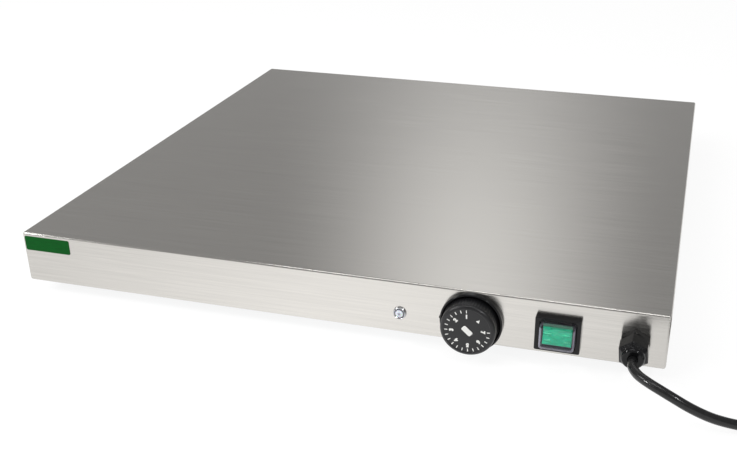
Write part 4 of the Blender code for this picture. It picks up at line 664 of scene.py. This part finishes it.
def make_world(studio):
    """An even room for matt surfaces, and for shiny ones a white studio with a grey upper half and a
    tall bright window behind the tray, whose level is 1 for pure white."""
    world = bpy.data.worlds.new("studio")
    bpy.context.scene.world = world
    tree = cleared_tree(world)
    toward = add(tree, "ShaderNodeTexCoord").outputs["Generated"]
    x, y, z = add(tree, "ShaderNodeSeparateXYZ", {"Vector": toward}).outputs
    smooth = {"interpolation_type": "SMOOTHSTEP"}
    foot, top, wall_top = (math.sin(math.radians(angle)) for angle in (WINDOW_FOOT, WINDOW_TOP, WALL_TOP))
    azimuth = reckoned(tree, "ARCTAN2", x, y)
    apart = reckoned(tree, "ABSOLUTE", reckoned(tree, "SUBTRACT", azimuth, math.radians(LOBE_AZIMUTH)))
    lobe = ranged(tree, apart, 1, 0, 0, math.radians(LOBE_HALF_WIDTH), **smooth)
    window = reckoned(tree, "MULTIPLY", lobe, ranged(tree, z, 0, 1, foot, top, **smooth))
    wall = ranged(tree, z, HORIZON_LEVEL, WALL_LEVEL, 0, wall_top, **smooth)
    room = reckoned(tree, "MULTIPLY_ADD", window, WINDOW_LEVEL, wall)
    under = reckoned(tree, "LESS_THAN", z, 0)
    level = add(tree, "ShaderNodeMix", {0: under, 2: room, 3: 1.0})
    seen, mirrored = sightings(tree)
    glossy = add(tree, "ShaderNodeMix", {0: mirrored, 2: studio.ambient, 3: level.outputs[0]})
    strength = add(tree, "ShaderNodeMix", {0: seen, 2: glossy.outputs[0], 3: 1.0})
    sky = add(tree, "ShaderNodeBackground", {"Color": (1, 1, 1, 1), "Strength": strength.outputs[0]})
    add(tree, "ShaderNodeOutputWorld", {"Surface": sky.outputs[0]})


def make_floor(studio):
    """A white floor that shows as white to the camera and through the clear cover, and still takes the
    tray's shadow. Shiny surfaces see it white too, a little brighter in a pool of light before the
    tray."""
    half = studio.floor_width / 2
    mesh = bpy.data.meshes.new("floor")
    mesh.from_pydata([(-half, -half, 0), (half, -half, 0), (half, half, 0), (-half, half, 0)], [],
                     [(0, 1, 2, 3)])
    floor = put_in_scene("floor", mesh)
    paint = bpy.data.materials.new("white_paper_floor")
    tree = cleared_tree(paint)
    place = add(tree, "ShaderNodeTexCoord").outputs["Object"]
    from_pool = add(tree, "ShaderNodeVectorMath", {0: place, 1: POOL_CENTRE}, operation="DISTANCE")
    pool = ranged(tree, from_pool.outputs["Value"], *POOL_LEVELS, *POOL_REACH)
    seen, mirrored = sightings(tree)
    clear = reckoned(tree, "MAXIMUM", seen, reckoned(tree, "MULTIPLY", mirrored, pool))
    lit = reckoned(tree, "MAXIMUM", clear, FLOOR_BOUNCE)
    glow = reckoned(tree, "MULTIPLY", lit, 1 - FLOOR_LIGHT * FLOOR_PAINT)
    matt = add(tree, "ShaderNodeBsdfDiffuse", {"Color": (FLOOR_PAINT,) * 3 + (1,)})
    light = add(tree, "ShaderNodeEmission", {"Color": (1, 1, 1, 1), "Strength": glow})
    both = add(tree, "ShaderNodeAddShader", {0: matt.outputs[0], 1: light.outputs[0]})
    add(tree, "ShaderNodeOutputMaterial", {"Surface": both.outputs[0]})
    mesh.materials.append(paint)


def make_lamp_panel(name, place, target, size, power, glossy=True):
    """A flat lamp aimed at a point; one that isn't glossy lights without showing in shiny surfaces."""
    lamp = bpy.data.lights.new(name, "AREA")
    lamp.shape = "RECTANGLE"
    lamp.size, lamp.size_y = size
    lamp.energy = power
    panel = put_in_scene(name, lamp)
    aim = (Vector(target) - Vector(place)).to_track_quat("-Z", "Y")
    panel.matrix_world = Matrix.Translation(place) @ aim.to_matrix().to_4x4()
    panel.visible_camera = False
    panel.visible_glossy = glossy


class WARMER_OT_stage(bpy.types.Operator):
    """Makes the camera, the floor, the room and the lamps"""

    bl_idname = "warmer.stage"
    bl_label = "Stage"

    def execute(self, context):
        scene = context.scene
        studio = scene.warmer_studio
        scene.view_settings.view_transform = "Standard"
        lens = bpy.data.cameras.new("camera")
        lens.sensor_width = 36.0
        lens.lens = studio.focal_length
        lens.shift_x, lens.shift_y = CAMERA_SHIFT
        lens.clip_start = 0.01
        camera = put_in_scene("camera", lens)
        camera.matrix_world = (Matrix.Translation(CAMERA_PLACE) @ Matrix.Rotation(CAMERA_HEADING, 4, "Z")
                               @ Matrix.Rotation(CAMERA_PITCH, 4, "X")
                               @ Matrix.Rotation(CAMERA_ROLL, 4, "Z"))
        scene.camera = camera
        make_world(studio)
        make_floor(studio)
        gland = Vector((GLAND[0], FRONT_Y, GLAND[1]))
        dial = Vector((DIAL[0], FRONT_Y, DIAL[1]))
        make_lamp_panel("key_panel", KEY_PLACE, KEY_TARGET, KEY_SIZE, studio.key_power, glossy=False)
        make_lamp_panel("left_spark", gland + LEFT_SPARK_FROM_GLAND, gland, SPARK_SIZE, SPARK_POWER)
        make_lamp_panel("right_spark", gland + RIGHT_SPARK_FROM_GLAND, gland, SPARK_SIZE, SPARK_POWER)
        make_lamp_panel("west_panel", WEST_PLACE, dial, WEST_SIZE, WEST_POWER)
        make_lamp_panel("strip", STRIP_PLACE, STRIP_TARGET, STRIP_SIZE, STRIP_POWER)
        return {"FINISHED"}


# Cord and plug

# The drawing of the cord, in millimetres, stands this far in front of the model
DRAWING_SHIFT = 13.75 * MM
EXIT = (273.5, -327.8, 35.5)
ROUTE = (
    (273.5, -331.8, 35.5), (274.9, -340.0, 35.8), (279.6, -350.1, 36.4), (287.5, -358.3, 36.3),
    (297.4, -363.9, 34.5), (308.1, -366.7, 30.7), (318.5, -366.8, 25.5), (328.6, -364.9, 20.1),
    (338.6, -361.8, 15.0), (349.0, -358.4, 11.0), (359.9, -355.3, 8.1), (371.2, -353.0, 6.6),
    (382.8, -352.0, 5.8), (394.4, -351.8, 5.4), (406.0, -352.0, 5.2),
)
COIL_CENTRE = (426.0, -295.0)
COIL_TURNS = 4.25
COIL_INNER_RADIUS = 38.5
COIL_PITCH = 8.7
COIL_LOW = 5.2
COIL_LIFT = 8.5
COIL_STRAIGHT = 8.0
POINTS_A_TURN = 64
TIE_DEGREES = 135.0
TIE_FROM_CORD = 4.4
PLUG_PITCH = 4.7
PIN_OFFSET = 9.5 * MM


def smooth_curve(stops, steps=12):
    """Centripetal Catmull-Rom curve: each stretch blends the straight lines through its four
    neighbouring stops, with a parameter that grows by the square root of their distances."""
    ends = np.vstack([2 * stops[0] - stops[1], stops, 2 * stops[-1] - stops[-2]])
    four = [ends[i:len(ends) - 3 + i][:, None, :] for i in range(4)]
    knots = [np.zeros((len(four[0]), 1, 1))]
    for first, second in zip(four, four[1:]):
        knots.append(knots[-1] + np.sqrt(np.linalg.norm(second - first, axis=2, keepdims=True)))
    share = np.linspace(0, 1, steps, endpoint=False)[None, :, None]
    t = knots[1] + (knots[2] - knots[1]) * share

    def blend(first, second, start, end):
        """The point at t on the straight line that runs from first at start to second at end."""
        return ((knots[end] - t) * first + (t - knots[start]) * second) / (knots[end] - knots[start])

    lines = [blend(four[i], four[i + 1], i, i + 1) for i in range(3)]
    bends = [blend(lines[i], lines[i + 1], i, i + 2) for i in range(2)]
    curve = blend(bends[0], bends[1], 1, 2)
    return np.vstack([curve.reshape(-1, 3), stops[-1:]])


def coil_points():
    """A round coil: radius = inner radius + pitch x turns from the middle turn, angle = a full circle
    a turn, and a height that climbs by one cord while the winding turns outward again."""
    turns = np.linspace(0, COIL_TURNS, round(COIL_TURNS * POINTS_A_TURN) + 1)
    from_middle = turns - COIL_TURNS / 2
    radius = COIL_INNER_RADIUS + COIL_PITCH * np.abs(from_middle)
    angle = 2 * np.pi * turns - np.pi / 2
    height = COIL_LOW + COIL_LIFT * np.clip(0.5 + 2 * from_middle, 0, 1)
    return np.stack([COIL_CENTRE[0] + radius * np.cos(angle), COIL_CENTRE[1] + radius * np.sin(angle),
                     height], axis=1)


def in_model(points):
    """Millimetres of the part's drawing as metres of the model."""
    return np.asarray(points, float) * MM + np.array([0, DRAWING_SHIFT, 0])


class WARMER_OT_cord(bpy.types.Operator):
    """Makes the supply cord with its coil and tie, and the plug on its end"""

    bl_idname = "warmer.cord"
    bl_label = "Cord and plug"

    def execute(self, context):
        turns = coil_points()
        start = turns[0] - (COIL_STRAIGHT, 0, 0)
        end = turns[-1] + (0, COIL_STRAIGHT, 0)
        free = smooth_curve(np.array([*ROUTE, start]))
        path = in_model(np.vstack([EXIT, free, turns, end]))
        curve = bpy.data.curves.new("supply_cord", "CURVE")
        curve.dimensions = "3D"
        curve.bevel_depth = sizes().cord_diameter / 2
        curve.bevel_resolution = 6
        curve.use_fill_caps = True
        spline = curve.splines.new("POLY")
        spline.points.add(len(path) - 1)
        spline.points.foreach_set("co", np.column_stack([path, np.ones(len(path))]).ravel())
        spline.use_smooth = True
        cord = put_in_scene("supply_cord", curve)
        curve.materials.append(FINISHES["black_rubber"])
        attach(cord, "tray")
        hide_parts("cord", "cord_coil")
        plug = make_plug(Vector(path[-1]))
        tie = make_tie()
        return {"FINISHED"}


def make_tie():
    """A flat strap: its rounded section is carried round the bundle along a rounded rectangle."""
    low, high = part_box("cord_tie")
    middle = (low + high) / 2
    across = (COIL_PITCH * COIL_TURNS / 2 + 2 * TIE_FROM_CORD) * MM
    tall = (COIL_LIFT + 2 * TIE_FROM_CORD) * MM
    thick = 0.8 * MM
    half_band = 4.0 * MM
    section = rounded_path([(0, -half_band, 0), (thick, -half_band, 0.25 * MM),
                            (thick, half_band, 0.25 * MM), (0, half_band, 0)], closed=True, steps=3)
    outward, along = section[:, 0], section[:, 1]
    rings = rectangle_rings(across / 2 + outward, tall / 2 + outward, 3.2 * MM + outward, along, 8)
    upright = Euler((math.radians(90), 0, math.radians(TIE_DEGREES)))
    place = Matrix.Translation(middle) @ upright.to_matrix().to_4x4()
    return add_piece("cord_strap", carried(skin(rings, "join"), place), "tray", "black_moulding",
                     ("cord_tie",))


def make_plug(cord_end):
    """The plug: a turned grip and a cup-shaped head, and two turned pins with rounded tips. The grip
    and the cord's sleeve have grooves: a depth times the square of a cosine's upper half."""
    pitch = math.radians(PLUG_PITCH)
    clearance = GAP + 5.0 * MM * math.sin(pitch)
    place = (Matrix.Translation(cord_end + Vector((0, clearance, 0)))
             @ Euler((math.radians(-90) + pitch, 0, 0)).to_matrix().to_4x4())
    face = 74.0
    path = rounded_path([
        (0, 0, 0), (5.0, 0, 0.8), (6.2, 22.8, 1.5), (9.5, 24, 1.5), (10.7, 56.0, 3), (15.0, 59, 2),
        (18.5, 60.5, 1.2), (18.5, face, 1.4), (16.3, face, 0.4), (15.9, face - 0.5, 0.3),
        (0, face - 0.5, 0),
    ], steps=5) * MM
    dense = np.vstack([np.linspace(a, b, 5, endpoint=False) for a, b in zip(path, path[1:])]
                      + [path[-1:]])
    height = dense[:, 1] / MM
    cuts = 0
    for depth, pitch_along, middle, start, end in ((0.8, 4.6, 40, 27, 53), (0.7, 4.0, 0, 4, 21)):
        wave = np.clip(np.cos((height - middle) * 2 * np.pi / pitch_along), 0, 1) ** 2
        cuts = cuts + depth * wave * ((height > start) & (height < end))
    dense[:, 0] -= cuts * MM
    body = add_piece("plug", carried(skin(turned_rings(dense, 64)), place), "tray", "black_moulding",
                     ("plug_body",))
    pins = []
    for number, side in enumerate((-1, 1), 1):
        pin = rounded_path([(0, face - 0.4, 0), (2.4, face - 0.4, 0), (2.4, face + 19, 1.2),
                            (0, face + 19, 0)]) * MM
        shape = moved(skin(turned_rings(pin, 32)), (0, side * PIN_OFFSET, 0))
        pins.append(add_piece(f"plug_contact_{number}", carried(shape, place), "tray", "brass",
                              (f"plug_pin_{number}",)))
    return [body, *pins]


# Dial

KNOB_TURN = 3.0
MARKER_TURN = -45.0
FACE_SETBACK = 0.5 * MM
FLUTE_DEPTH = 0.32 * MM
FLUTES = 60
NUMERALS = (("1", 90), ("2", 135), ("3", 180), ("4", 225), ("5", 270), ("6", 315), ("7", 360))
TICK_COUNT = 19
TICK_STEP = 15.0
TICK_CIRCLE = 18.3 * MM
TRIANGLE_CIRCLE = 14.1 * MM
NUMERAL_CIRCLE = 13.6 * MM
INK = 0.12 * MM


class WARMER_OT_knob(bpy.types.Operator):
    """Makes the dial knob, its marker, and the scale printed on its face"""

    bl_idname = "warmer.knob"
    bl_label = "Dial knob"

    def execute(self, context):
        make_knob()
        make_scale()
        return {"FINISHED"}


def make_knob():
    """A turned cap with a hollow back and a hub. Its side is fluted: the radius drops by the flute
    depth times half of 1 - cos(flutes x angle), fading out where the side meets the face and the rim."""
    radius = sizes().knob_radius / MM
    front = sizes().knob_front / MM
    face = front - FACE_SETBACK / MM
    back, wall, round_over, hub, bore, bore_end = 3.0, 2, 3.4, 6, 3.3, 15.5
    path = rounded_path([
        (0, face, 0), (19.9, face, 0.3), (20.6, front, 0.5), (radius, front, round_over),
        (radius, back, 0.5), (radius - wall, back, 0.5), (radius - wall, face - wall, 1.5),
        (hub, face - wall, 0.8), (hub, back, 0.4), (bore, back, 0.3), (bore, bore_end, 0),
        (0, bore_end, 0),
    ], steps=7)
    side = np.linspace([radius, front - round_over], [radius, back + 0.5], 14)[1:-1]
    cut = int(np.argmax((path[:, 0] > radius - 0.01) & (path[:, 1] < 4)))
    path = np.vstack([path[:cut], side, path[cut:]]) * MM
    rings = turned_rings(path, FLUTES * 6)
    out = np.hypot(rings[..., 0], rings[..., 1])
    height = rings[..., 2] / MM
    angle = np.arctan2(rings[..., 1], rings[..., 0])
    fade = np.clip((16.4 - height) / 1.4, 0, 1) * np.clip((height - 3.9) / 0.8, 0, 1)
    depth = FLUTE_DEPTH / 2 * (1 - np.cos(FLUTES * angle)) * fade * (out > (radius - 1) * MM)
    rings[..., :2] *= (1 - depth / np.maximum(out, WELD))[..., None]
    add_piece("knob", on_front(spun(skin(rings), KNOB_TURN), DIAL), "dial", "black_moulding",
              ("dial_knob",), sharp=35)
    edge = rounded_path([(0, 0.0, 0), (0, 1.0, 0.35), (2.0, 1.0, 0)], steps=4)
    inset, level = edge[:-1, 0], edge[:-1, 1]
    rings = rectangle_rings((5.0 - inset) * MM, (2.45 - inset) * MM, (1.25 - inset) * MM,
                            (17.9 + level) * MM)
    marker = spun(skin(rings), KNOB_TURN + MARKER_TURN)
    add_piece("dial_marker", on_front(marker, DIAL), "dial", "white_moulding", ("knob_marker",))


def make_scale():
    """Ticks at even angles, a triangle, and numbers whose tops point outward, as thin prints on the
    knob's face."""
    face = sizes().knob_front - FACE_SETBACK
    parts = []
    level = np.array([0, 1.0, 1.0]) * INK
    inset = np.array([0, 0, 0.08]) * MM
    for number in range(TICK_COUNT):
        tick = rectangle_rings(1.4 * MM - inset, 0.38 * MM - inset, 0.3 * MM - inset, level, 2)
        tick = moved(skin(tick), (TICK_CIRCLE, 0, face))
        parts.append(spun(tick, 90 + TICK_STEP * number + KNOB_TURN))
    triangle = np.array([(-1.6, -1.3), (1.6, -1.3), (0, 1.7)])
    outline = np.repeat(triangle[None] * MM, 2, axis=0)
    rings = np.concatenate([outline, np.repeat([[[face]], [[face + INK]]], 3, axis=1)], axis=2)
    parts.append(spun(moved(skin(rings), (0, TRIANGLE_CIRCLE, 0)), KNOB_TURN + MARKER_TURN))
    for text, degrees in NUMERALS:
        parts.append(numeral(text, degrees + KNOB_TURN, face))
    add_piece("dial_scale", on_front(joined(parts), DIAL), "dial", "white_moulding")


def numeral(text, degrees, face):
    """A number as a skin, its middle on the scale's circle and its top outward."""
    drawing = bpy.data.curves.new("numeral", "FONT")
    drawing.body = text
    drawing.align_x = "CENTER"
    drawing.align_y = "CENTER"
    drawing.size = sizes().numeral_height * 1.38
    drawing.extrude = INK / 2
    drawing.offset = 0.36 * MM
    drawing.resolution_u = 4
    thing = bpy.data.objects.new("numeral", drawing)
    mesh = bpy.data.meshes.new_from_object(thing)
    flat = np.zeros(len(mesh.vertices) * 3)
    mesh.vertices.foreach_get("co", flat)
    faces = [list(polygon.vertices) for polygon in mesh.polygons]
    bpy.data.objects.remove(thing)
    bpy.data.meshes.remove(mesh)
    points = flat.reshape(-1, 3)
    middle = (points.min(axis=0) + points.max(axis=0)) / 2
    shape = moved((points - middle, faces), (0, NUMERAL_CIRCLE, face + INK / 2))
    return spun(shape, degrees - 90)


class WARMER_OT_bezel(bpy.types.Operator):
    """Makes the dish behind the knob, with its index nib"""

    bl_idname = "warmer.bezel"
    bl_label = "Dial bezel"

    def execute(self, context):
        radius = sizes().bezel_radius / MM
        crown = sizes().bezel_height / MM
        path = rounded_path([
            (radius, 0.3, 0.2), (radius, crown, 1.15), (radius - 2.4, crown, 1.15),
            (radius - 2.4, 2.4, 0.6), (7.0, 2.4, 0.3), (7.0, 0.3, 0),
        ], closed=True, steps=7) * MM
        dish = skin(turned_rings(path, 128), "join")
        edge = rounded_path([(0, 0.3, 0), (0, 1.9, 0.5), (1.1, 1.9, 0)], steps=4)
        inset, level = edge[:, 0], edge[:, 1]
        rings = rectangle_rings((1.9 - inset * 0.9) * MM, (1.1 - inset * 0.9) * MM,
                                (0.6 - inset * 0.5) * MM, level * MM)
        nib = moved(skin(rings), (-(radius - 0.6) * MM, 0, 0))
        add_piece("bezel", on_front(joined([dish, nib]), DIAL), "tray", "black_moulding",
                  ("dial_bezel",), "gloss_black")
        return {"FINISHED"}


# Switch

class WARMER_OT_switch(bpy.types.Operator):
    """Makes the switch's clamp frame, its clear cover and the green rocker"""

    bl_idname = "warmer.switch"
    bl_label = "Rocker switch"

    def execute(self, context):
        make_frame()
        make_cover()
        make_rocker()
        return {"FINISHED"}


def make_frame():
    """A rectangular ring: its rounded section is carried round, from the outer edge to the window."""
    front = (GAP + sizes().frame_depth) / MM
    section = rounded_path([(0, 0.3, 0.1), (0, front, 1.1), (4.2, front - 0.5, 0.6), (4.2, 3.5, 0.1),
                            (1.9, 3.5, 0.1), (1.9, 0.3, 0.1)], closed=True, steps=5)
    inset, level = section[:, 0], section[:, 1]
    rings = rectangle_rings((19.2 - inset) * MM, (15.75 - inset) * MM,
                            np.maximum(1.4 - inset * 0.25, 0.4) * MM, level * MM, 6)
    add_piece("clamp_frame", on_front(skin(rings, "join"), SWITCH), "tray", "black_moulding",
              ("switch_frame",), "gloss_black")


def make_cover():
    """A clear shell: from the middle of its inside, round the inner wall, over the flange, and up
    the outer wall to the middle of its flat face."""
    front = sizes().cover_front / MM
    wall, flange, flange_back, flange_front = 0.8, 2.2, 2.6, 3.2
    half_x, half_y = 14.7, 11.3
    path = rounded_path([
        (half_y - 0.2, front - wall, 0), (wall, front - wall, 1.6), (wall, flange_back, 0.1),
        (-flange, flange_back, 0.1), (-flange, flange_front, 0.1), (0, flange_front, 0.2),
        (0, front, 2.4), (half_y - 0.2, front, 0),
    ], steps=7)
    inset, level = path[:, 0], path[:, 1]
    corner = np.clip(2.6 - inset * 0.5, 0.1, None)
    rings = rectangle_rings((half_x - inset) * MM, (half_y - inset) * MM,
                            np.minimum(corner, half_y - inset - 0.05) * MM, level * MM, 6)
    add_piece("splash_cover", on_front(skin(rings), SWITCH), "tray", "clear_cover", ("switch_cover",))


def make_rocker():
    """A two-sided rocker: height = valley + rise x smoothed |up| / half height, plus ribs of cosine
    squared section on the left and right thirds, less a round-over at the ends; the loop closes under
    a keel. Sizes are in millimetres until the skin is made."""
    width, half = 12.2, 9.3
    valley, nose, keel = 5.4, 7.4, -3.5
    rib_places = np.array([-5.6, -0.2, 5.2])
    rib_half, rib_height, rib_start, rib_end = 1.3, 1.0, 5.0, width - 0.7
    up = np.linspace(-half, half, 81)
    bend = np.sqrt(up ** 2 + 1.0) - 1.0
    top = valley + (nose - valley) * bend / (math.sqrt(half ** 2 + 1) - 1)
    top = top - 0.7 * np.clip((np.abs(up) - (half - 0.8)) / 0.8, 0, 1) ** 2
    under_up = np.array([half - 0.7, half / 2, 0, -half / 2, -half + 0.7])
    under_level = np.array([0, keel, keel, keel, 0])
    loop_up = np.concatenate([up, under_up])
    loop_level = np.concatenate([top, under_level])
    outer = np.array([width, width - 0.02, width - 0.12, width - 0.3, width - 0.5])
    inner = np.linspace(width - 0.6, 4.6, 30)
    x = np.concatenate([-outer, -inner, np.linspace(-4.3, 4.3, 9), inner[::-1], outer[::-1]])
    off_edge = np.clip(np.abs(x) - (width - 0.5), 0, 0.5)
    shrink = 0.5 - np.sqrt(np.clip(0.25 - off_edge ** 2, 0, None))
    ribs_x = np.clip((np.abs(x) - rib_start) / 0.35, 0, 1) * np.clip((rib_end - np.abs(x)) / 0.35, 0, 1)
    offset = up[None] - rib_places[:, None]
    ribs_up = (np.cos(np.clip(offset / rib_half, -1, 1) * np.pi / 2) ** 2).max(axis=0)
    lift = np.concatenate([rib_height * ribs_up, np.zeros(len(under_up))])
    inward = shrink[:, None] * np.sign(loop_level - 1)[None]
    level = loop_level[None] - inward + ribs_x[:, None] * lift[None]
    ups = loop_up[None] * (1 - shrink[:, None] / half)
    across = np.repeat(x[:, None], len(loop_up), axis=1)
    body = skin(np.stack([across, ups, level], axis=-1) * MM)
    pivot = rounded_path([(0, -13.5, 0), (1.4, -13.5, 0.3), (1.4, 13.5, 0.3), (0, 13.5, 0)]) * MM
    pivot_points, pivot_faces = skin(turned_rings(pivot, 24))
    both = joined([body, (pivot_points[:, [2, 0, 1]], pivot_faces)])
    add_piece("rocker_button", on_front(leaning(both, sizes().rocker_tilt), SWITCH), "rocker",
              "green_rocker", ("switch_rocker",), sharp=40)


# Lamp, gland and label

class WARMER_OT_lamp(bpy.types.Operator):
    """Makes the pilot lamp: a chromed rim, and a lens whose height is a crown less a square law, with
    fine rings as a cosine of the distance from the axis"""

    bl_idname = "warmer.lamp"
    bl_label = "Pilot lamp"

    def execute(self, context):
        radius = sizes().lamp_radius / MM
        path = rounded_path([
            (3.6, 1.1, 0.1), (4.6, 2.2, 0.2), (4.9, 2.5, 0.2), (5.5, 1.9, 0.6), (radius, 0.3, 0.1),
            (4.2, 0.3, 0.1), (4.2, -13.0, 0.1), (3.6, -13.0, 0.1),
        ], closed=True, steps=5) * MM
        rim = skin(turned_rings(path, 64), "join")
        add_piece("lamp_rim", on_front(rim, LAMP), "tray", "chrome_rim", ("lamp_bezel",))
        edge, crown, drop, ripple, ripple_pitch = 4.3, 2.75, 0.75, 0.05, 0.9
        out = np.linspace(0, edge, 40)
        dome = crown - drop * (out / edge) ** 2 + ripple * np.cos(out * 2 * np.pi / ripple_pitch)
        path = np.vstack([np.column_stack([out, dome]), [(3.3, 1.0), (3.3, -13.2), (0, -13.2)]]) * MM
        cap = skin(turned_rings(path, 48))
        add_piece("lamp_cap", on_front(cap, LAMP), "tray", "lamp_lens", ("lamp_lens",))
        return {"FINISHED"}


NUT_TURN = 6.0
NUT_BEVEL = 2.4


def hexagon_reach(flats, degrees):
    """Distance from the axis to a hexagon's flats: half the flats / cos(angle from the flat's middle)."""
    def reach(angle):
        off = np.mod(angle - math.radians(degrees), np.pi / 3) - np.pi / 6
        return flats / 2 / np.cos(off)
    return reach


class WARMER_OT_gland(bpy.types.Operator):
    """Makes the cable gland: its hexagon body and the sealing nut, whose front has six flat bevels
    (the hexagon drawn inward by a share) and a nose of quarter-ellipse section"""

    bl_idname = "warmer.gland"
    bl_label = "Cable gland"

    def execute(self, context):
        flats = sizes().gland_flats
        corner = flats / 2 / math.cos(math.pi / 6) / MM
        bore, thread, back, front = 4.6, 7.8, -11.0, 16.0
        path = rounded_path([
            (bore, back, 0.2), (thread, back, 0.5), (thread, 0.3, 0), (corner - 0.6, 0.3, 0),
            (corner, 0.9, 0), (corner, 5.2, 0), (corner - 0.6, 5.8, 0), (thread, 5.8, 0),
            (thread, front, 0.4), (bore, front, 0.3),
        ], closed=True, steps=4) * MM
        base = skin(turned_rings(path, 144, hexagon_reach(flats, 30)), "join")
        add_piece("gland_base", on_front(base, GLAND), "tray", "black_moulding", ("gland_body",),
                  "gloss_black", sharp=25)
        angle = np.linspace(0, np.pi / 2, 11)
        nose = np.column_stack([7.2 + 2.6 * np.cos(angle), 23.4 + 4.1 * np.sin(angle)])
        path = np.vstack([
            [(corner - 0.8, 6.4), (corner, 7.2), (corner, 14.0), (corner, 20.2),
             (corner - NUT_BEVEL, 22.6)],
            nose, [(4.5, 27.5), (4.5, 24.9), (6.7, 24.9), (6.7, 16.4), (8.1, 16.4), (8.1, 6.4)],
        ]) * MM
        rings = turned_rings(path, 144, hexagon_reach(flats, 30 + NUT_TURN))
        before_bevel, after_bevel = 3, 4
        rings[after_bevel] = rings[before_bevel] * (1 - NUT_BEVEL / corner)
        rings[after_bevel, :, 2] = path[after_bevel, 1]
        add_piece("gland_cap", on_front(skin(rings, "join"), GLAND), "tray", "black_moulding",
                  ("gland_nut",), "gloss_black", sharp=25)
        return {"FINISHED"}


PLATE_CENTRE = (-274.1 * MM, 53.55 * MM)


class WARMER_OT_label(bpy.types.Operator):
    """Makes the bare green plate at the left end of the front skirt"""

    bl_idname = "warmer.label"
    bl_label = "Bare plate"

    def execute(self, context):
        edge = rounded_path([(0, 0.02, 0), (0, 0.35, 0.15), (1.0, 0.35, 0)], steps=3)
        inset, level = edge[:, 0], edge[:, 1]
        rings = rectangle_rings((23.6 - inset) * MM, (7.15 - inset) * MM, (1.6 - inset * 0.8) * MM,
                                level * MM)
        add_piece("bare_plate", on_front(skin(rings), PLATE_CENTRE), "tray", "green_rocker",
                  finish="label")
        return {"FINISHED"}


class WARMER_OT_underside(bpy.types.Operator):
    """Gives the folded sheet, the feet and the small parts smooth shading"""

    bl_idname = "warmer.underside"
    bl_label = "Sheet, feet and screws"

    def execute(self, context):
        smooth_copy("folded_sheet", "casing", "tray", "brushed_stainless", sharp=60)
        for number in range(1, 5):
            smooth_copy(f"rubber_foot_{number}", f"foot_{number}", "tray", "black_rubber")
            smooth_copy(f"plate_screw_{number}", f"base_screw_{number}", "tray", "zinc_plated")
        return {"FINISHED"}


class WARMER_PT_panel(bpy.types.Panel):
    """Shows the tray's sizes, colours and studio settings, and a button for each step that builds it"""

    bl_idname = "WARMER_PT_panel"
    bl_label = "Warmer tray"
    bl_space_type = "VIEW_3D"
    bl_region_type = "UI"
    bl_category = "Warmer tray"

    def draw(self, context):
        for group in (context.scene.warmer_sizes, context.scene.warmer_colours,
                      context.scene.warmer_studio):
            box = self.layout.box()
            for name in group.__annotations__:
                box.prop(group, name)
        for operator in OPERATORS:
            self.layout.operator(operator.bl_idname)


OPERATORS = (
    WARMER_OT_finishes,
    WARMER_OT_stage,
    WARMER_OT_cord,
    WARMER_OT_knob,
    WARMER_OT_bezel,
    WARMER_OT_switch,
    WARMER_OT_lamp,
    WARMER_OT_gland,
    WARMER_OT_label,
    WARMER_OT_underside,
)
GROUPS = (WarmerSizes, WarmerColours, WarmerStudio)
FIELDS = ("warmer_sizes", "warmer_colours", "warmer_studio")


def register():
    for made in (*GROUPS, *OPERATORS, WARMER_PT_panel):
        bpy.utils.register_class(made)
    for field, group in zip(FIELDS, GROUPS):
        setattr(bpy.types.Scene, field, bpy.props.PointerProperty(type=group))


def unregister():
    for field in FIELDS:
        delattr(bpy.types.Scene, field)
    for made in reversed((*GROUPS, *OPERATORS, WARMER_PT_panel)):
        bpy.utils.unregister_class(made)


def main():
    register()
    for operator in OPERATORS:
        group, name = operator.bl_idname.split(".")
        getattr(getattr(bpy.ops, group), name)()


if __name__ == "__main__":
    main()
